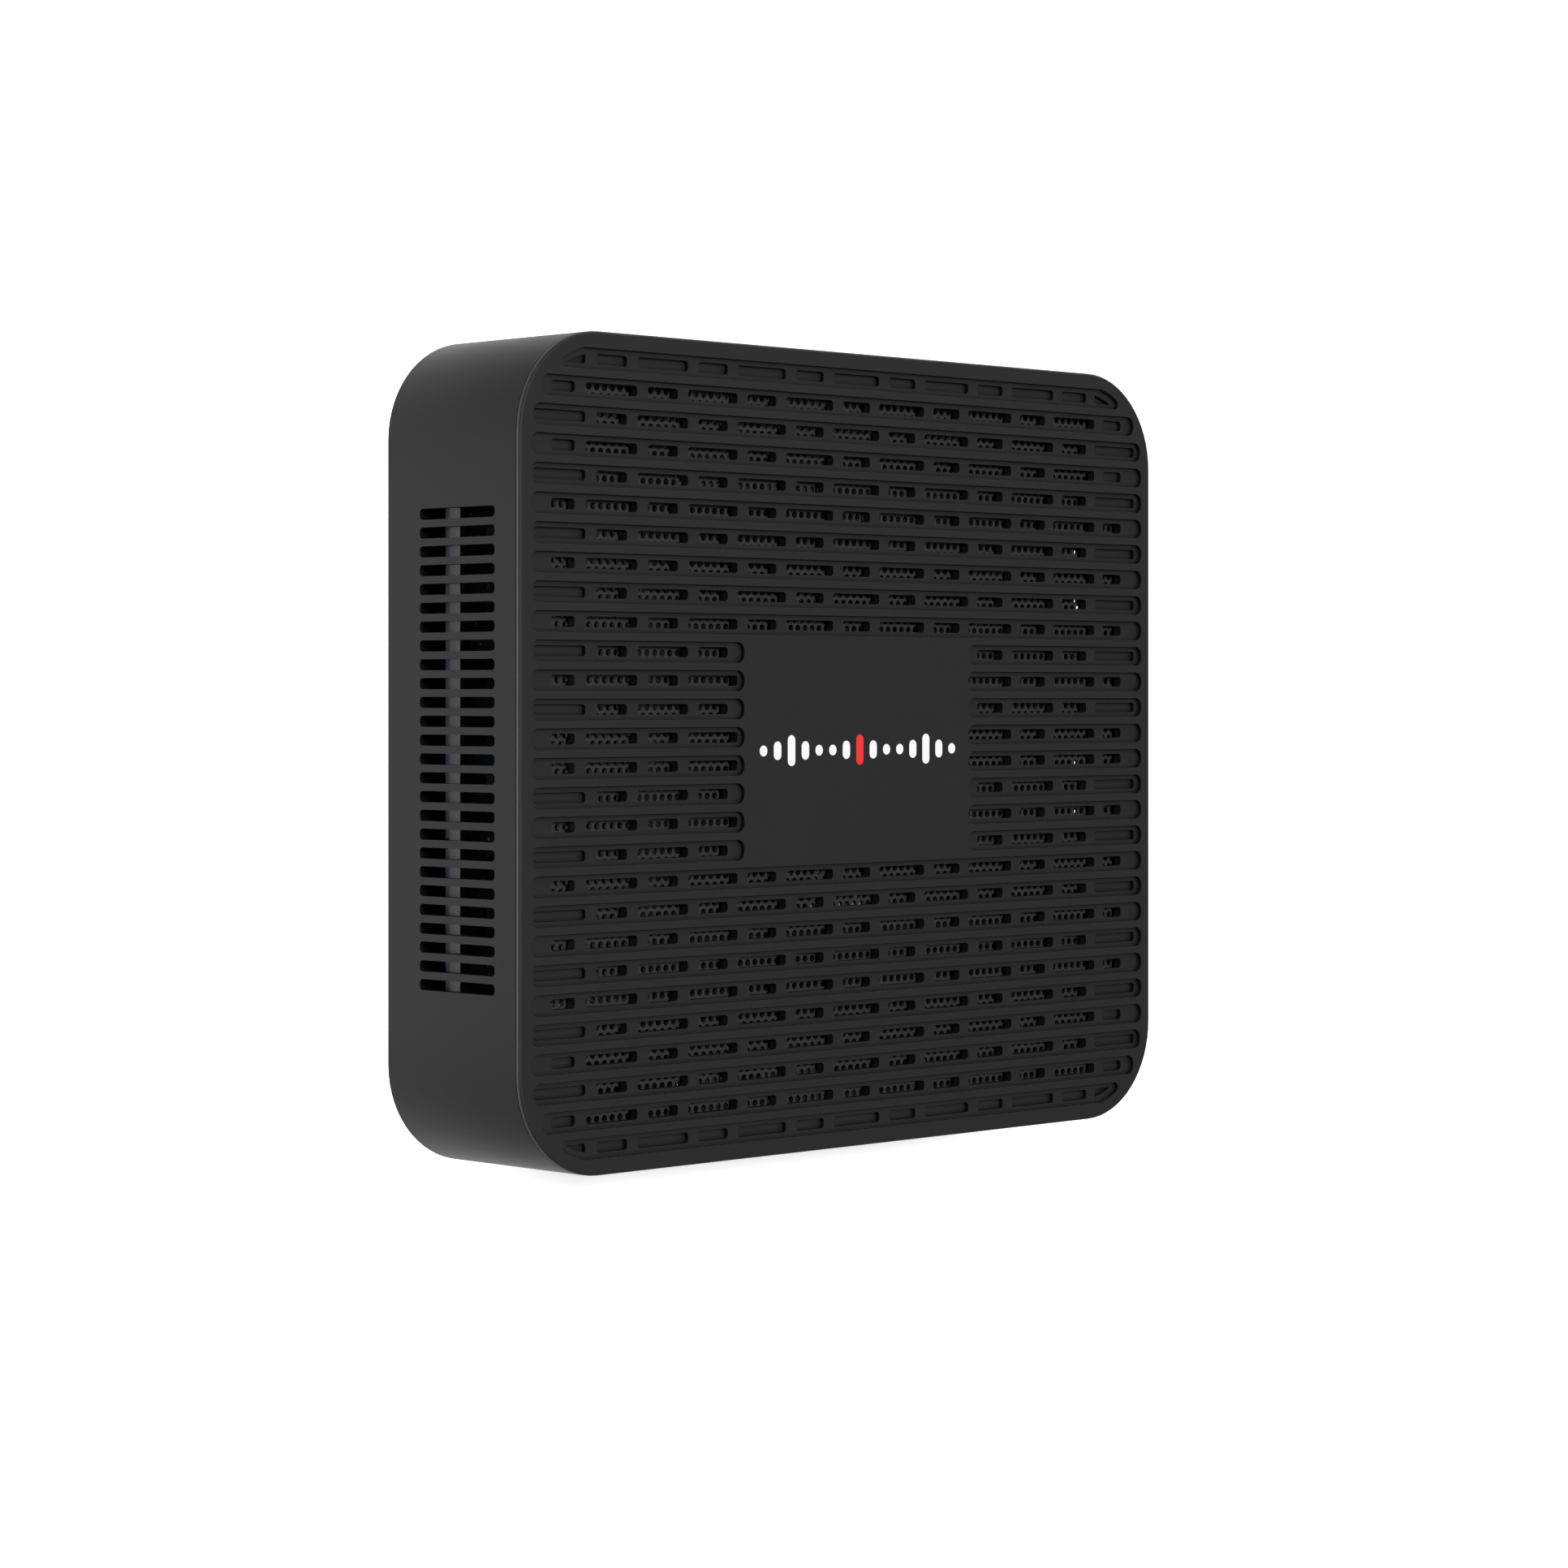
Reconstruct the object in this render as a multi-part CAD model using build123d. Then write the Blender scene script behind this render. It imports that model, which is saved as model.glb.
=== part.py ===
"""Small desktop network computer in a flat, square-cornered case with a slotted lid.

Row frame: +Z up through the slotted lid, +Y towards the rear ports, +X to the right as seen
from the front, origin on the floor under the middle of the case. Millimetres throughout.
"""

import math
import os

from build123d import *

# ---------------------------------------------------------------- case: driving dimensions
body_width = 136.5
body_depth = 120.0
body_height = 29.2
corner_radius = 15.0
pedestal_height = 3.3
foot_stand = 2.5

wall = 1.8
lip = 1.0
fit_gap = 0.1
lid_edge = 0.7
lid_round = 0.4
rim_round = 0.2
base_round = 0.5
lid_thickness = 2.0
skirt_depth = 0.7
skirt_wall = 1.0
mesh_thickness = 0.5
base_plate = 2.0

# lid pattern
row_pitch = 4.152
channel_height = 3.05
channel_corner = 1.35
channel_inset = 2.1
channel_depth = 0.7
pocket_depth = 0.75
pocket_inset = 3.2
long_slot = 10.0
short_slot = 5.95
slot_gap = 2.075
slot_height = 1.55
slot_corner = 0.5
end_margin = 1.05
end_short_slot = 4.45
panel_half_width = 24.4
panel_rows = 8
closed_end_rows = 2

# side vents
vent_count = 26
vent_pitch = 2.692
vent_length = 16.35
vent_height = 1.6
vent_corner = 0.6
vent_drop = 5.35
vent_shift = 0.5

# lid latches
latch_length = 12.0
latch_height = 0.6
latch_reach = 0.35
latch_drop = 0.9

# mesh: the moulded sheet is drawn with one coarse hole in place of each cluster of fine ones
mesh_clearance = 0.15
mesh_hole = 3.2
mesh_pitch = 5.0

# fixings
case_screw_inset = 13.5
boss_radius = 3.5
pilot_radius = 1.25
screw_radius = 1.2
screw_head_radius = 2.4
screw_clear_radius = 1.4
head_recess = 2.5
head_height = 1.6
boss_rib = 1.6
boss_top_drop = 9.0
foot_radius = 6.0
foot_hole_radius = 3.0
foot_recess = 0.8
pedestal_inset = 5.0
pedestal_chamfer = 1.0
bracket_spacing = 75.0
insert_radius = 3.0
insert_bore = 1.65
insert_length = 5.0

# board
board_drop = 18.8
board_thickness = 0.8
board_side_gap = 1.2
board_end_gap = 1.3
board_notch = 15.5
board_screw_inset_x = 9.75
board_screw_inset_y = 21.5
board_screw_head = 2.3
rail_height = 2.4
rail_width = 0.8
rail_length = 80.0
guide_gap = 0.1
guide_length = 80.0
guide_top_gap = 0.6
guide_hole_width = 2.4
guide_hole_height = 1.6
guide_hole_lift = 4.2

# cooling
cpu_size = 26.0
cpu_height = 1.3
sink_width = 66.0
sink_depth = 62.0
sink_base = 2.0
pad_gap = 0.2
fin_height = 4.1
fin_thickness = 0.6
fin_pitch = 2.0
fan_size = 60.0
fan_height = 7.0
fan_gap = 0.2
duct_radius = 27.5
blade_count = 9
blade_tip_gap = 0.9
hub_radius = 12.5
hub_wall = 0.9
shaft_radius = 1.0
bearing_clearance = 0.04
fan_hole_spacing = 50.0

# ports
port_gap = 0.2
port_setback = 0.5
window_margin = 1.6
flange_lap = 1.5
flange_thickness = 1.0
body_gap = 0.3
window_drop = 0.8
plate_sill = 2.0

# power button
button_radius = 4.2
button_travel = 0.5
button_gap = 0.3
button_stand = 0.2
button_flange = 1.0
plunger_radius = 1.0
switch_inset = 6.8
reset_inset = 4.6
lamp_inset = 9.0
aerial_inset = 14.0

# ---------------------------------------------------------------- levels and places
half_width = body_width / 2
half_depth = body_depth / 2
base_z = foot_stand + pedestal_height
face_z = base_z + body_height
seam_z = face_z - lid_edge
plate_z = face_z - lid_thickness
mesh_top_z = plate_z - skirt_depth
ledge_z = mesh_top_z - mesh_thickness
base_top_z = base_z + base_plate
cavity_z = foot_stand + base_plate
board_top_z = face_z - board_drop
board_under_z = board_top_z - board_thickness
cpu_top_z = board_top_z + cpu_height
sink_low_z = cpu_top_z + pad_gap
fin_low_z = sink_low_z + sink_base
fan_low_z = fin_low_z + fin_height + fan_gap
fan_top_z = fan_low_z + fan_height
window_low_z = board_under_z - plate_sill
window_high_z = ledge_z - window_drop
plug_inset = lip + fit_gap
channel_floor_z = face_z - channel_depth
half_step = (long_slot + short_slot) / 2 + slot_gap
board_half_x = half_width - wall - board_side_gap
board_half_y = half_depth - wall - board_end_gap
port_y = half_depth - port_setback
switch_depth = half_depth - switch_inset
reset_depth = half_depth - reset_inset
lamp_depth = half_depth - lamp_inset
behind_plate = wall + flange_thickness - port_setback + body_gap
screw_x = half_width - case_screw_inset
screw_y = half_depth - case_screw_inset
board_screw_x = half_width - board_screw_inset_x
board_screw_y = half_depth - board_screw_inset_y
side_wall_x = half_width - wall
end_wall_y = half_depth - wall
corners = [(sx, sy) for sx in (-1, 1) for sy in (-1, 1)]


# ---------------------------------------------------------------- shape helpers
def block(x, y, z):
    """A box between two values on each axis."""
    size = [high - low for low, high in (x, y, z)]
    middle = [(high + low) / 2 for low, high in (x, y, z)]
    return Pos(*middle) * Box(*size)


def disc(x, y, radius, low, high):
    """An upright cylinder between two heights."""
    return Pos(x, y, (low + high) / 2) * Cylinder(radius, high - low)


def rod_y(x, z, radius, low, high):
    """A cylinder lying front to back between two values of Y."""
    return Pos(x, (low + high) / 2, z) * Rot(90, 0, 0) * Cylinder(radius, high - low)


def slab(sketch, low, high):
    """A flat outline raised between two heights."""
    return Pos(0, 0, low) * extrude(sketch, high - low)


def outline(inset):
    """The case's plan outline, moved inwards."""
    return RectangleRounded(
        body_width - 2 * inset, body_depth - 2 * inset, corner_radius - inset
    )


def group(solids):
    """Several loose solids that share one node."""
    return Compound(children=[s for shape in solids for s in shape.solids()])


# ---------------------------------------------------------------- lid
def row_reach(y):
    """Half the length of a channel whose middle is at y, inside the rounded corners."""
    radius = corner_radius - channel_inset
    straight = half_depth - corner_radius
    rise = max(0.0, abs(y) - straight)
    return half_width - corner_radius + math.sqrt(max(0.0, radius**2 - rise**2))


def lid_rows():
    """Each row's place and its number counted inwards from the nearer end."""
    room = half_depth - channel_inset - channel_height / 2
    half_rows = int(room / row_pitch + 0.5)
    for index in range(2 * half_rows):
        y = (half_rows - 0.5 - index) * row_pitch
        yield y, min(index, 2 * half_rows - 1 - index), half_rows


def row_channels(y, number, half_rows):
    """The sunk channels of one row, as flat outlines."""
    reach = row_reach(y)
    if number == 0:
        strip = Pos(0, y) * Rectangle(body_width, channel_height)
        clipped = strip & outline(channel_inset)
        inner = clipped.vertices().sort_by(lambda v: abs(v.Y))[:2]
        return [fillet(inner, channel_corner * 0.6)]
    if number >= half_rows - panel_rows // 2:
        length = reach - panel_half_width
        middle = panel_half_width + length / 2
        spans = [(-middle, length), (middle, length)]
    else:
        spans = [(0, 2 * reach)]
    return [
        Pos(x, y) * RectangleRounded(length, channel_height, channel_corner)
        for x, length in spans
    ]


def row_slots(y, number, half_rows):
    """The slots of one row as (outline, goes through) pairs."""
    beside_panel = number >= half_rows - panel_rows // 2
    short_middle = number % 2 == 1
    last = int(row_reach(0) // half_step)
    for step in range(-last, last + 1):
        is_short = (step % 2 == 0) == short_middle
        length = short_slot if is_short else long_slot
        near = abs(step) * half_step - length / 2
        far = near + length
        if beside_panel and near < panel_half_width:
            continue
        at_end = abs(step) == last
        if at_end:
            far = min(far, row_reach(0) - end_margin)
            far = min(far, near + end_short_slot) if is_short else far
        open_end = is_short and number > 2 * closed_end_rows
        through = number > 0 and (not at_end or open_end)
        middle = math.copysign((near + far) / 2, step) if step else 0
        shape = Pos(middle, y) * RectangleRounded(far - near, slot_height, slot_corner)
        if number == 0 and at_end:
            shape = shape & outline(pocket_inset)
        yield shape, through


def latch_places():
    """Middle and direction of each snap latch round the lid."""
    run_x = half_width - corner_radius - latch_length / 2
    run_y = half_depth - corner_radius - latch_length / 2
    for sign in (-1, 1):
        for share in (-0.9, 0, 0.9):
            yield share * run_x, sign * half_depth, 0
        for share in (-0.8, 0.8):
            yield sign * half_width, share * run_y, 90


def latch_bars(reach, slack):
    """One bar for each latch, standing out by reach from the lid's plug."""
    middle_z = seam_z - latch_drop
    for x, y, turn in latch_places():
        thick = reach + lip + plug_inset
        bar = Box(latch_length + 2 * slack, thick, latch_height + 2 * slack)
        edge = plug_inset - reach
        inward = edge + thick / 2
        place = Pos(x - math.copysign(inward, x), y, middle_z)
        if turn == 0:
            place = Pos(x, y - math.copysign(inward, y), middle_z)
        yield place * Rot(0, 0, turn) * bar


def make_lid():
    """The slotted lid, with its plug, skirt and snap latches."""
    edge = slab(outline(0), seam_z, face_z)
    edge = fillet(edge.edges().group_by(Axis.Z)[-1], lid_round)
    plug = slab(outline(plug_inset), plate_z, seam_z)
    frame = outline(plug_inset) - outline(plug_inset + skirt_wall)
    skirt = slab(frame, mesh_top_z, plate_z)
    inside = slab(outline(plug_inset + skirt_wall), ledge_z, plate_z)
    latches = [bar - inside for bar in latch_bars(latch_reach, 0)]
    lid = edge + plug + skirt + latches
    cuts = []
    for row in lid_rows():
        cuts += [slab(s, channel_floor_z, face_z + 1) for s in row_channels(*row)]
        for shape, through in row_slots(*row):
            low = plate_z - 1 if through else channel_floor_z - pocket_depth
            cuts.append(slab(shape, low, channel_floor_z))
    return lid - cuts


def make_mesh():
    """The perforated sheet clamped between the side frame's ledge and the lid's skirt."""
    inset = lip + mesh_clearance
    margin = plug_inset + skirt_wall + mesh_hole
    columns = int((body_width - 2 * margin) / mesh_pitch)
    lines = int((body_depth - 2 * margin) / (mesh_pitch * math.sqrt(3) / 2))
    reach = corner_radius - margin
    holes = []
    for line in range(-(lines // 2), lines // 2 + 1):
        y = line * mesh_pitch * math.sqrt(3) / 2
        shift = (line % 2) / 2
        for column in range(-(columns // 2) - 1, columns // 2 + 1):
            x = (column + shift) * mesh_pitch
            over_x = abs(x) - (half_width - corner_radius)
            over_y = abs(y) - (half_depth - corner_radius)
            if max(over_x, over_y) > reach:
                continue
            if min(over_x, over_y) > 0 and math.hypot(over_x, over_y) > reach:
                continue
            holes.append(Wire([Edge.make_circle(mesh_hole / 2, Plane((x, y, 0)))]))
    face = Face(outline(inset).faces()[0].outer_wire(), holes)
    return slab(face, ledge_z, mesh_top_z)


# ---------------------------------------------------------------- side frame
def vent_cutters():
    """The stack of slots through the left and right walls."""
    high = face_z - vent_drop
    middle_z = high - vent_length / 2
    for index in range(vent_count):
        y = (index - (vent_count - 1) / 2) * vent_pitch + vent_shift
        shape = Plane.YZ * Pos(y, middle_z) * RectangleRounded(vent_height, vent_length, vent_corner)
        for sign in (-1, 1):
            yield Pos(sign * half_width, 0, 0) * extrude(shape, 2 * wall, both=True)


def port_window(sign, half_length, grow=0.0, low=None, high=None):
    """The opening in the front (-1) or rear (1) wall, or the plate that fills it."""
    y = sorted((sign * (low or end_wall_y - 1), sign * (high or half_depth + 1)))
    return block(
        (-half_length - grow, half_length + grow),
        y,
        (window_low_z - grow, window_high_z + grow),
    )


def make_side_frame():
    """The wall all round the case, with vents, port windows and screw bosses."""
    ring = slab(outline(0) - outline(wall), base_z, seam_z)
    ring = fillet(ring.edges().group_by(Axis.Z)[-1].filter_by(outside), rim_round)
    ring = fillet(ring.edges().group_by(Axis.Z)[0].filter_by(outside), base_round)
    adds = []
    top = face_z - boss_top_drop
    for sx, sy in corners:
        x, y = sx * screw_x, sy * screw_y
        adds.append(disc(x, y, boss_radius, base_top_z, top))
        ribs = [
            (sorted((x, sx * (side_wall_x + lip / 2))), (y - boss_rib / 2, y + boss_rib / 2)),
            ((x - boss_rib / 2, x + boss_rib / 2), sorted((y, sy * (end_wall_y + lip / 2)))),
        ]
        adds += [block(*rib, (base_top_z, top)) for rib in ribs]
    ring = ring + adds
    cuts = [
        slab(outline(lip), ledge_z, seam_z + 1),
        slab(outline(lip), base_z - 1, base_top_z),
        port_window(-1, front_half),
        port_window(1, rear_half),
    ]
    cuts += [
        disc(sx * screw_x, sy * screw_y, pilot_radius, base_top_z - 1, base_top_z + 12)
        for sx, sy in corners
    ]
    cuts += list(latch_bars(latch_reach + fit_gap, fit_gap))
    return ring - cuts - list(vent_cutters())


def outside(edge):
    """True for an edge that lies on the outside of the case's wall."""
    point = edge @ 0.5
    over_x = max(0.0, abs(point.X) - (half_width - corner_radius))
    over_y = max(0.0, abs(point.Y) - (half_depth - corner_radius))
    return math.hypot(over_x, over_y) > corner_radius - wall / 2


# ---------------------------------------------------------------- base
def make_base():
    """The bottom cover with its hollow pedestal, air slots, columns and standoffs."""
    plate = slab(outline(plug_inset), base_z, base_top_z)
    pedestal = slab(outline(pedestal_inset), foot_stand, base_z)
    pedestal = chamfer(pedestal.edges().group_by(Axis.Z)[0], pedestal_chamfer)
    hollow = slab(outline(pedestal_inset + base_plate), cavity_z, base_top_z)
    base = plate + pedestal - hollow
    adds = []
    for sx, sy in corners:
        adds.append(disc(sx * screw_x, sy * screw_y, 2 * boss_radius - 2, foot_stand, base_top_z))
        adds.append(disc(sx * board_screw_x, sy * board_screw_y, 3.0, cavity_z, board_under_z))
    for sign in (-1, 1):
        x = sign * bracket_spacing / 2
        adds.append(disc(x, 0, insert_radius + 1.6, foot_stand, foot_stand + insert_length + 1))
    base = base + adds
    cuts = []
    for sx, sy in corners:
        x, y = sx * screw_x, sy * screw_y
        cuts.append(disc(x, y, foot_radius + fit_gap, foot_stand - 1, foot_stand + foot_recess))
        cuts.append(disc(x, y, screw_head_radius + 0.2, foot_stand - 1, foot_stand + head_recess))
        cuts.append(disc(x, y, screw_clear_radius, foot_stand - 1, base_top_z + 1))
        cuts.append(
            disc(sx * board_screw_x, sy * board_screw_y, 1.05, cavity_z + 2, board_under_z + 1)
        )
    for sign in (-1, 1):
        x = sign * bracket_spacing / 2
        cuts.append(disc(x, 0, insert_radius, foot_stand - 1, foot_stand + insert_length))
    air_slot = SlotOverall(34, 2.0)
    for line in range(-4, 5):
        cuts.append(slab(Pos(0, line * 5.0) * air_slot, foot_stand - 1, cavity_z + 1))
    return base - cuts


def make_foot(sx, sy):
    """A rubber ring round one case screw, stuck in its recess."""
    x, y = sx * screw_x, sy * screw_y
    foot = disc(x, y, foot_radius, 0, foot_stand + foot_recess)
    foot = fillet(foot.edges().group_by(Axis.Z)[0], 0.6)
    return foot - disc(x, y, foot_hole_radius, -1, foot_stand + foot_recess + 1)


def cross_screw(x, y, seat, head, shank, radius=screw_radius, up=False):
    """A pan-head screw with a cross recess. It points up from under, or down from above."""
    body = disc(0, 0, head, 0, head_height)
    body = fillet(body.edges().group_by(Axis.Z)[-1], head_height * 0.4)
    body += disc(0, 0, radius, -shank, 0)
    slot = block((-head * 0.6, head * 0.6), (-0.25, 0.25), (head_height - 0.7, head_height + 1))
    body = body - slot - Rot(0, 0, 90) * slot
    if up:
        body = Rot(180, 0, 0) * body
    return Pos(x, y, seat) * body


# ---------------------------------------------------------------- ports
# Each port is drawn with its mouth at y = 0, facing -Y, standing on z = 0.
def shelled(width, height, length, skin, corner, lift):
    """A thin metal port shell, open at the mouth and closed behind."""
    middle = lift + height / 2
    rounded = Plane.XZ * Pos(0, middle) * RectangleRounded(width, height, corner)
    bore = Plane.XZ * Pos(0, middle) * RectangleRounded(
        width - 2 * skin, height - 2 * skin, max(corner - skin, 0.05)
    )
    shell = extrude(rounded, -length) - Pos(0, -1, 0) * extrude(bore, -(length - skin + 1))
    return shell


def data_port():
    """A single flat data socket."""
    lift, width, height, length, skin = 0.7, 13.1, 5.7, 14.0, 0.3
    shell = shelled(width, height, length, skin, 0.5, lift)
    inner = (-width / 2 + skin, width / 2 - skin)
    floor = lift + skin
    core = block(inner, (9.5, length - skin), (floor, lift + height - skin))
    tongue = block((-5.55, 5.55), (1.0, 9.5), (floor + 2.75, floor + 4.6))
    contacts = [
        block((x - 0.5, x + 0.5), (1.6, 9.0), (floor + 2.6, floor + 2.75))
        for x in (-3.5, -1.2, 1.2, 3.5)
    ]
    legs = block((-width / 2, width / 2), (3, 6), (0, lift))
    return shell + core + tongue + contacts + legs


def oval_port():
    """A small oval data socket with its thin middle tongue."""
    lift, width, height, length, skin = 0.5, 9.0, 3.3, 7.6, 0.3
    shell = shelled(width, height, length, skin, 1.6, lift)
    middle = lift + height / 2
    core = Plane.XZ * Pos(0, middle) * RectangleRounded(width - 2 * skin, height - 2 * skin, 1.3)
    back = Pos(0, 5.4, 0) * extrude(core, -(length - skin - 5.4))
    tongue = block((-3.3, 3.3), (0.7, 5.4), (middle - 0.35, middle + 0.35))
    leg_span = (behind_plate + 0.2, behind_plate + 3.4)
    legs = block((-width / 2 + 1, width / 2 - 1), leg_span, (0, lift + skin / 2))
    return shell + back + tongue + legs


def video_port():
    """A video socket: a shell with its lower corners drawn in, and a wide tongue."""
    lift, width, height, length, skin = 0.6, 15.0, 5.6, 11.6, 0.35
    half, low, high, waist = width / 2, lift, lift + height, 2.1
    points = [(-half, high), (half, high), (half, low + waist), (half - 1.4, low)]
    points += [(-x, z) for x, z in reversed(points[2:])]
    profile = make_face(Polyline(*points, close=True))
    solid = extrude(Plane.XZ * profile, -length)
    bore = extrude(Plane.XZ * offset(profile, -skin), -(length - skin + 1))
    shell = solid - Pos(0, -1, 0) * bore
    middle = low + 2.9
    core = extrude(Plane.XZ * offset(profile, -skin), -(length - skin - 8))
    tongue = block((-5.9, 5.9), (1.0, 8.0), (middle - 0.4, middle + 0.4))
    legs = block((-half + 1.6, half - 1.6), (3, 6), (0, lift + skin / 2))
    return shell + Pos(0, 8, 0) * core + tongue + legs


lan_width, lan_height, lan_length = 15.9, 13.4, 21.3
lan_mouth_width, lan_mouth_height, lan_mouth_depth = 11.8, 6.9, 14.0
lan_mouth_low = 4.6


def lan_port():
    """A network socket with its stepped latch slot, contact wires and two lamp windows."""
    body = block((-lan_width / 2, lan_width / 2), (0, lan_length), (0, lan_height))
    body = fillet(body.edges().filter_by(Axis.Y), 0.4)
    half = lan_mouth_width / 2
    top = lan_mouth_low + lan_mouth_height
    cuts = [
        block((-half, half), (-1, lan_mouth_depth), (lan_mouth_low, top)),
        block((-3.1, 3.1), (-1, 9.0), (lan_mouth_low - 1.5, lan_mouth_low)),
        block((-1.7, 1.7), (-1, 9.0), (lan_mouth_low - 2.9, lan_mouth_low - 1.5)),
    ]
    body = body - cuts
    for index in range(8):
        x = (index - 3.5) * 1.02
        wire = block((x - 0.22, x + 0.22), (3.0, lan_mouth_depth), (top - 0.35, top))
        ramp = block((x - 0.22, x + 0.22), (lan_mouth_depth - 1.6, lan_mouth_depth), (top - 2.2, top))
        body = body + [wire, ramp]
    for sign in (-1, 1):
        lamp = block((sign * 5.6 - 1.5, sign * 5.6 + 1.5), (-0.15, 1), (1.0, 2.8))
        body = body + lamp
    return body


dc_bore, dc_depth = 3.15, 9.0


def dc_jack():
    """The power inlet with its middle pin."""
    body = block((-4.5, 4.5), (0, 14.2), (0, 10.6))
    body = fillet(body.edges().filter_by(Axis.Y).group_by(Axis.Z)[-1], 1.5)
    middle = 6.3
    body = body - rod_y(0, middle, dc_bore, -1, dc_depth)
    pin = fillet(rod_y(0, middle, 1.05, 0.8, dc_depth).edges().group_by(Axis.Y)[0], 0.4)
    return body + pin


audio_bore, audio_depth, audio_middle = 1.8, 12.0, 2.9


def audio_jack():
    """A 3.5 mm sound socket, with a round nose that reaches through the plate."""
    body = block((-3.3, 3.3), (behind_plate, 14.4), (0, 5.4))
    nose = rod_y(0, audio_middle, 2.6, 0, behind_plate)
    return body + nose - rod_y(0, audio_middle, audio_bore, -1, audio_depth)


# name: maker, middle x, width and height of the plate's hole, height of the hole's foot
front_ports = {
    "data_port_front_left": (data_port, -20.0, 13.1, 5.7, 0.7),
    "data_port_front_right": (data_port, -2.0, 13.1, 5.7, 0.7),
    "oval_data_port": (oval_port, 13.5, 9.0, 3.3, 0.5),
    "audio_jack": (audio_jack, -34.0, 5.2, 5.2, 0.3),
}
rear_ports = {
    "dc_jack": (dc_jack, 43.5, 9.0, 10.6, 0.0),
    "video_port_left": (video_port, 28.5, 15.0, 5.6, 0.6),
    "video_port_right": (video_port, 11.0, 15.0, 5.6, 0.6),
    "lan_port_left": (lan_port, -7.0, 15.9, 13.4, 0.0),
    "lan_port_right": (lan_port, -25.0, 15.9, 13.4, 0.0),
    "data_port_rear": (data_port, -41.5, 13.1, 5.7, 0.7),
}
button_x = 40.0
button_z = board_top_z + 6.2
lamp_x = 31.0
lamp_radius = 0.9
reset_x = 24.0
reset_hole_radius = 0.7
stem_z = board_top_z + 4.0
small_z = board_top_z + 2.0
front_half = max(button_x + button_radius, -min(p[1] for p in front_ports.values())) + 5
rear_half = max(abs(p[1]) + p[2] / 2 for p in rear_ports.values()) + window_margin


def placed(maker, x, sign):
    """A port moved to its place in the front (-1) or rear (1) wall."""
    turn = 180 if sign > 0 else 0
    return Pos(x, sign * port_y, board_top_z) * Rot(0, 0, turn) * maker()



def port_plate(sign, half_length, ports):
    """The plate that fills a port window, flanged inside, with a hole for each port."""
    slim = block(
        (-half_length + fit_gap, half_length - fit_gap),
        sorted((sign * (end_wall_y - 0.1), sign * (half_depth - 0.2))),
        (window_low_z + fit_gap, window_high_z - fit_gap),
    )
    flange = block(
        (-half_length - flange_lap, half_length + flange_lap),
        sorted((sign * (end_wall_y - flange_thickness), sign * (end_wall_y - 0.05))),
        (window_low_z - flange_lap, window_high_z + flange_lap / 3),
    )
    cuts = []
    depth = sorted((sign * (end_wall_y - flange_thickness - 1), sign * (half_depth + 1)))
    for maker, x, width, height, foot in ports.values():
        low = board_top_z + foot - port_gap
        high = board_top_z + foot + height + port_gap
        span = (x - width / 2 - port_gap, x + width / 2 + port_gap)
        cuts.append(block(span, depth, (low, high)))
    return slim + flange - cuts


def front_plate():
    """The front plate also carries the power button, the lamp and the reset pinhole."""
    low, high = -half_depth - 1, -end_wall_y + flange_thickness + 1
    holes = [
        rod_y(button_x, button_z, button_radius + button_gap, low, high),
        rod_y(lamp_x, small_z, lamp_radius + fit_gap, low, high),
        rod_y(reset_x, small_z, reset_hole_radius, low, high),
    ]
    return port_plate(-1, front_half, front_ports) - holes


# ---------------------------------------------------------------- power button and switches
plate_back_y = -end_wall_y + flange_thickness
plate_front_y = -half_depth + 0.2


def power_button():
    """The round button, its retaining flange and the stem that meets the switch."""
    cap = rod_y(button_x, button_z, button_radius, plate_front_y - button_stand, plate_back_y + 0.3)
    cap = fillet(cap.edges().group_by(Axis.Y)[0], 0.5)
    ring_low = plate_back_y + 0.2
    collar = rod_y(button_x, button_z, button_radius + 0.8, ring_low, ring_low + button_flange)
    dish = Pos(button_x, plate_front_y - button_stand - 11.7, button_z) * Sphere(12)
    stem = rod_y(button_x, stem_z, 1.2, ring_low, -switch_depth - 0.8)
    return cap + collar + stem - dish


def switch_housing(x, z, wide, low_y, deep, tall, bore):
    """A right-angle push switch with a bore for its plunger and two legs to the board."""
    body = block((x - wide / 2, x + wide / 2), (low_y, low_y + deep), (board_top_z, board_top_z + tall))
    body = chamfer(body.edges().filter_by(Axis.Y).group_by(Axis.Z)[-1], 0.4)
    return body - rod_y(x, z, bore, low_y - 1, low_y + deep * 0.6)


def status_pipe():
    """The clear rod that carries the lamp's light to the front plate."""
    rod = rod_y(lamp_x, small_z, lamp_radius, plate_front_y - 0.1, -lamp_depth - 1.4)
    span = (-lamp_depth - 4.6, -lamp_depth - 2.6)
    foot = block((lamp_x - 1.5, lamp_x + 1.5), span, (board_top_z, small_z))
    return rod + foot


# ---------------------------------------------------------------- board
def main_board():
    """The main circuit board, notched round the screw bosses."""
    sheet = Rectangle(2 * board_half_x, 2 * board_half_y)
    notch = Rectangle(2 * board_notch, 2 * board_notch)
    notches = [Pos(sx * board_half_x, sy * board_half_y) * notch for sx, sy in corners]
    holes = [Pos(sx * board_screw_x, sy * board_screw_y) * Circle(1.6) for sx, sy in corners]
    holes += [Pos(x, y) * Circle(1.4) for x, y in sink_posts]
    return slab(sheet - notches - holes, board_under_z, board_top_z)


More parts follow.
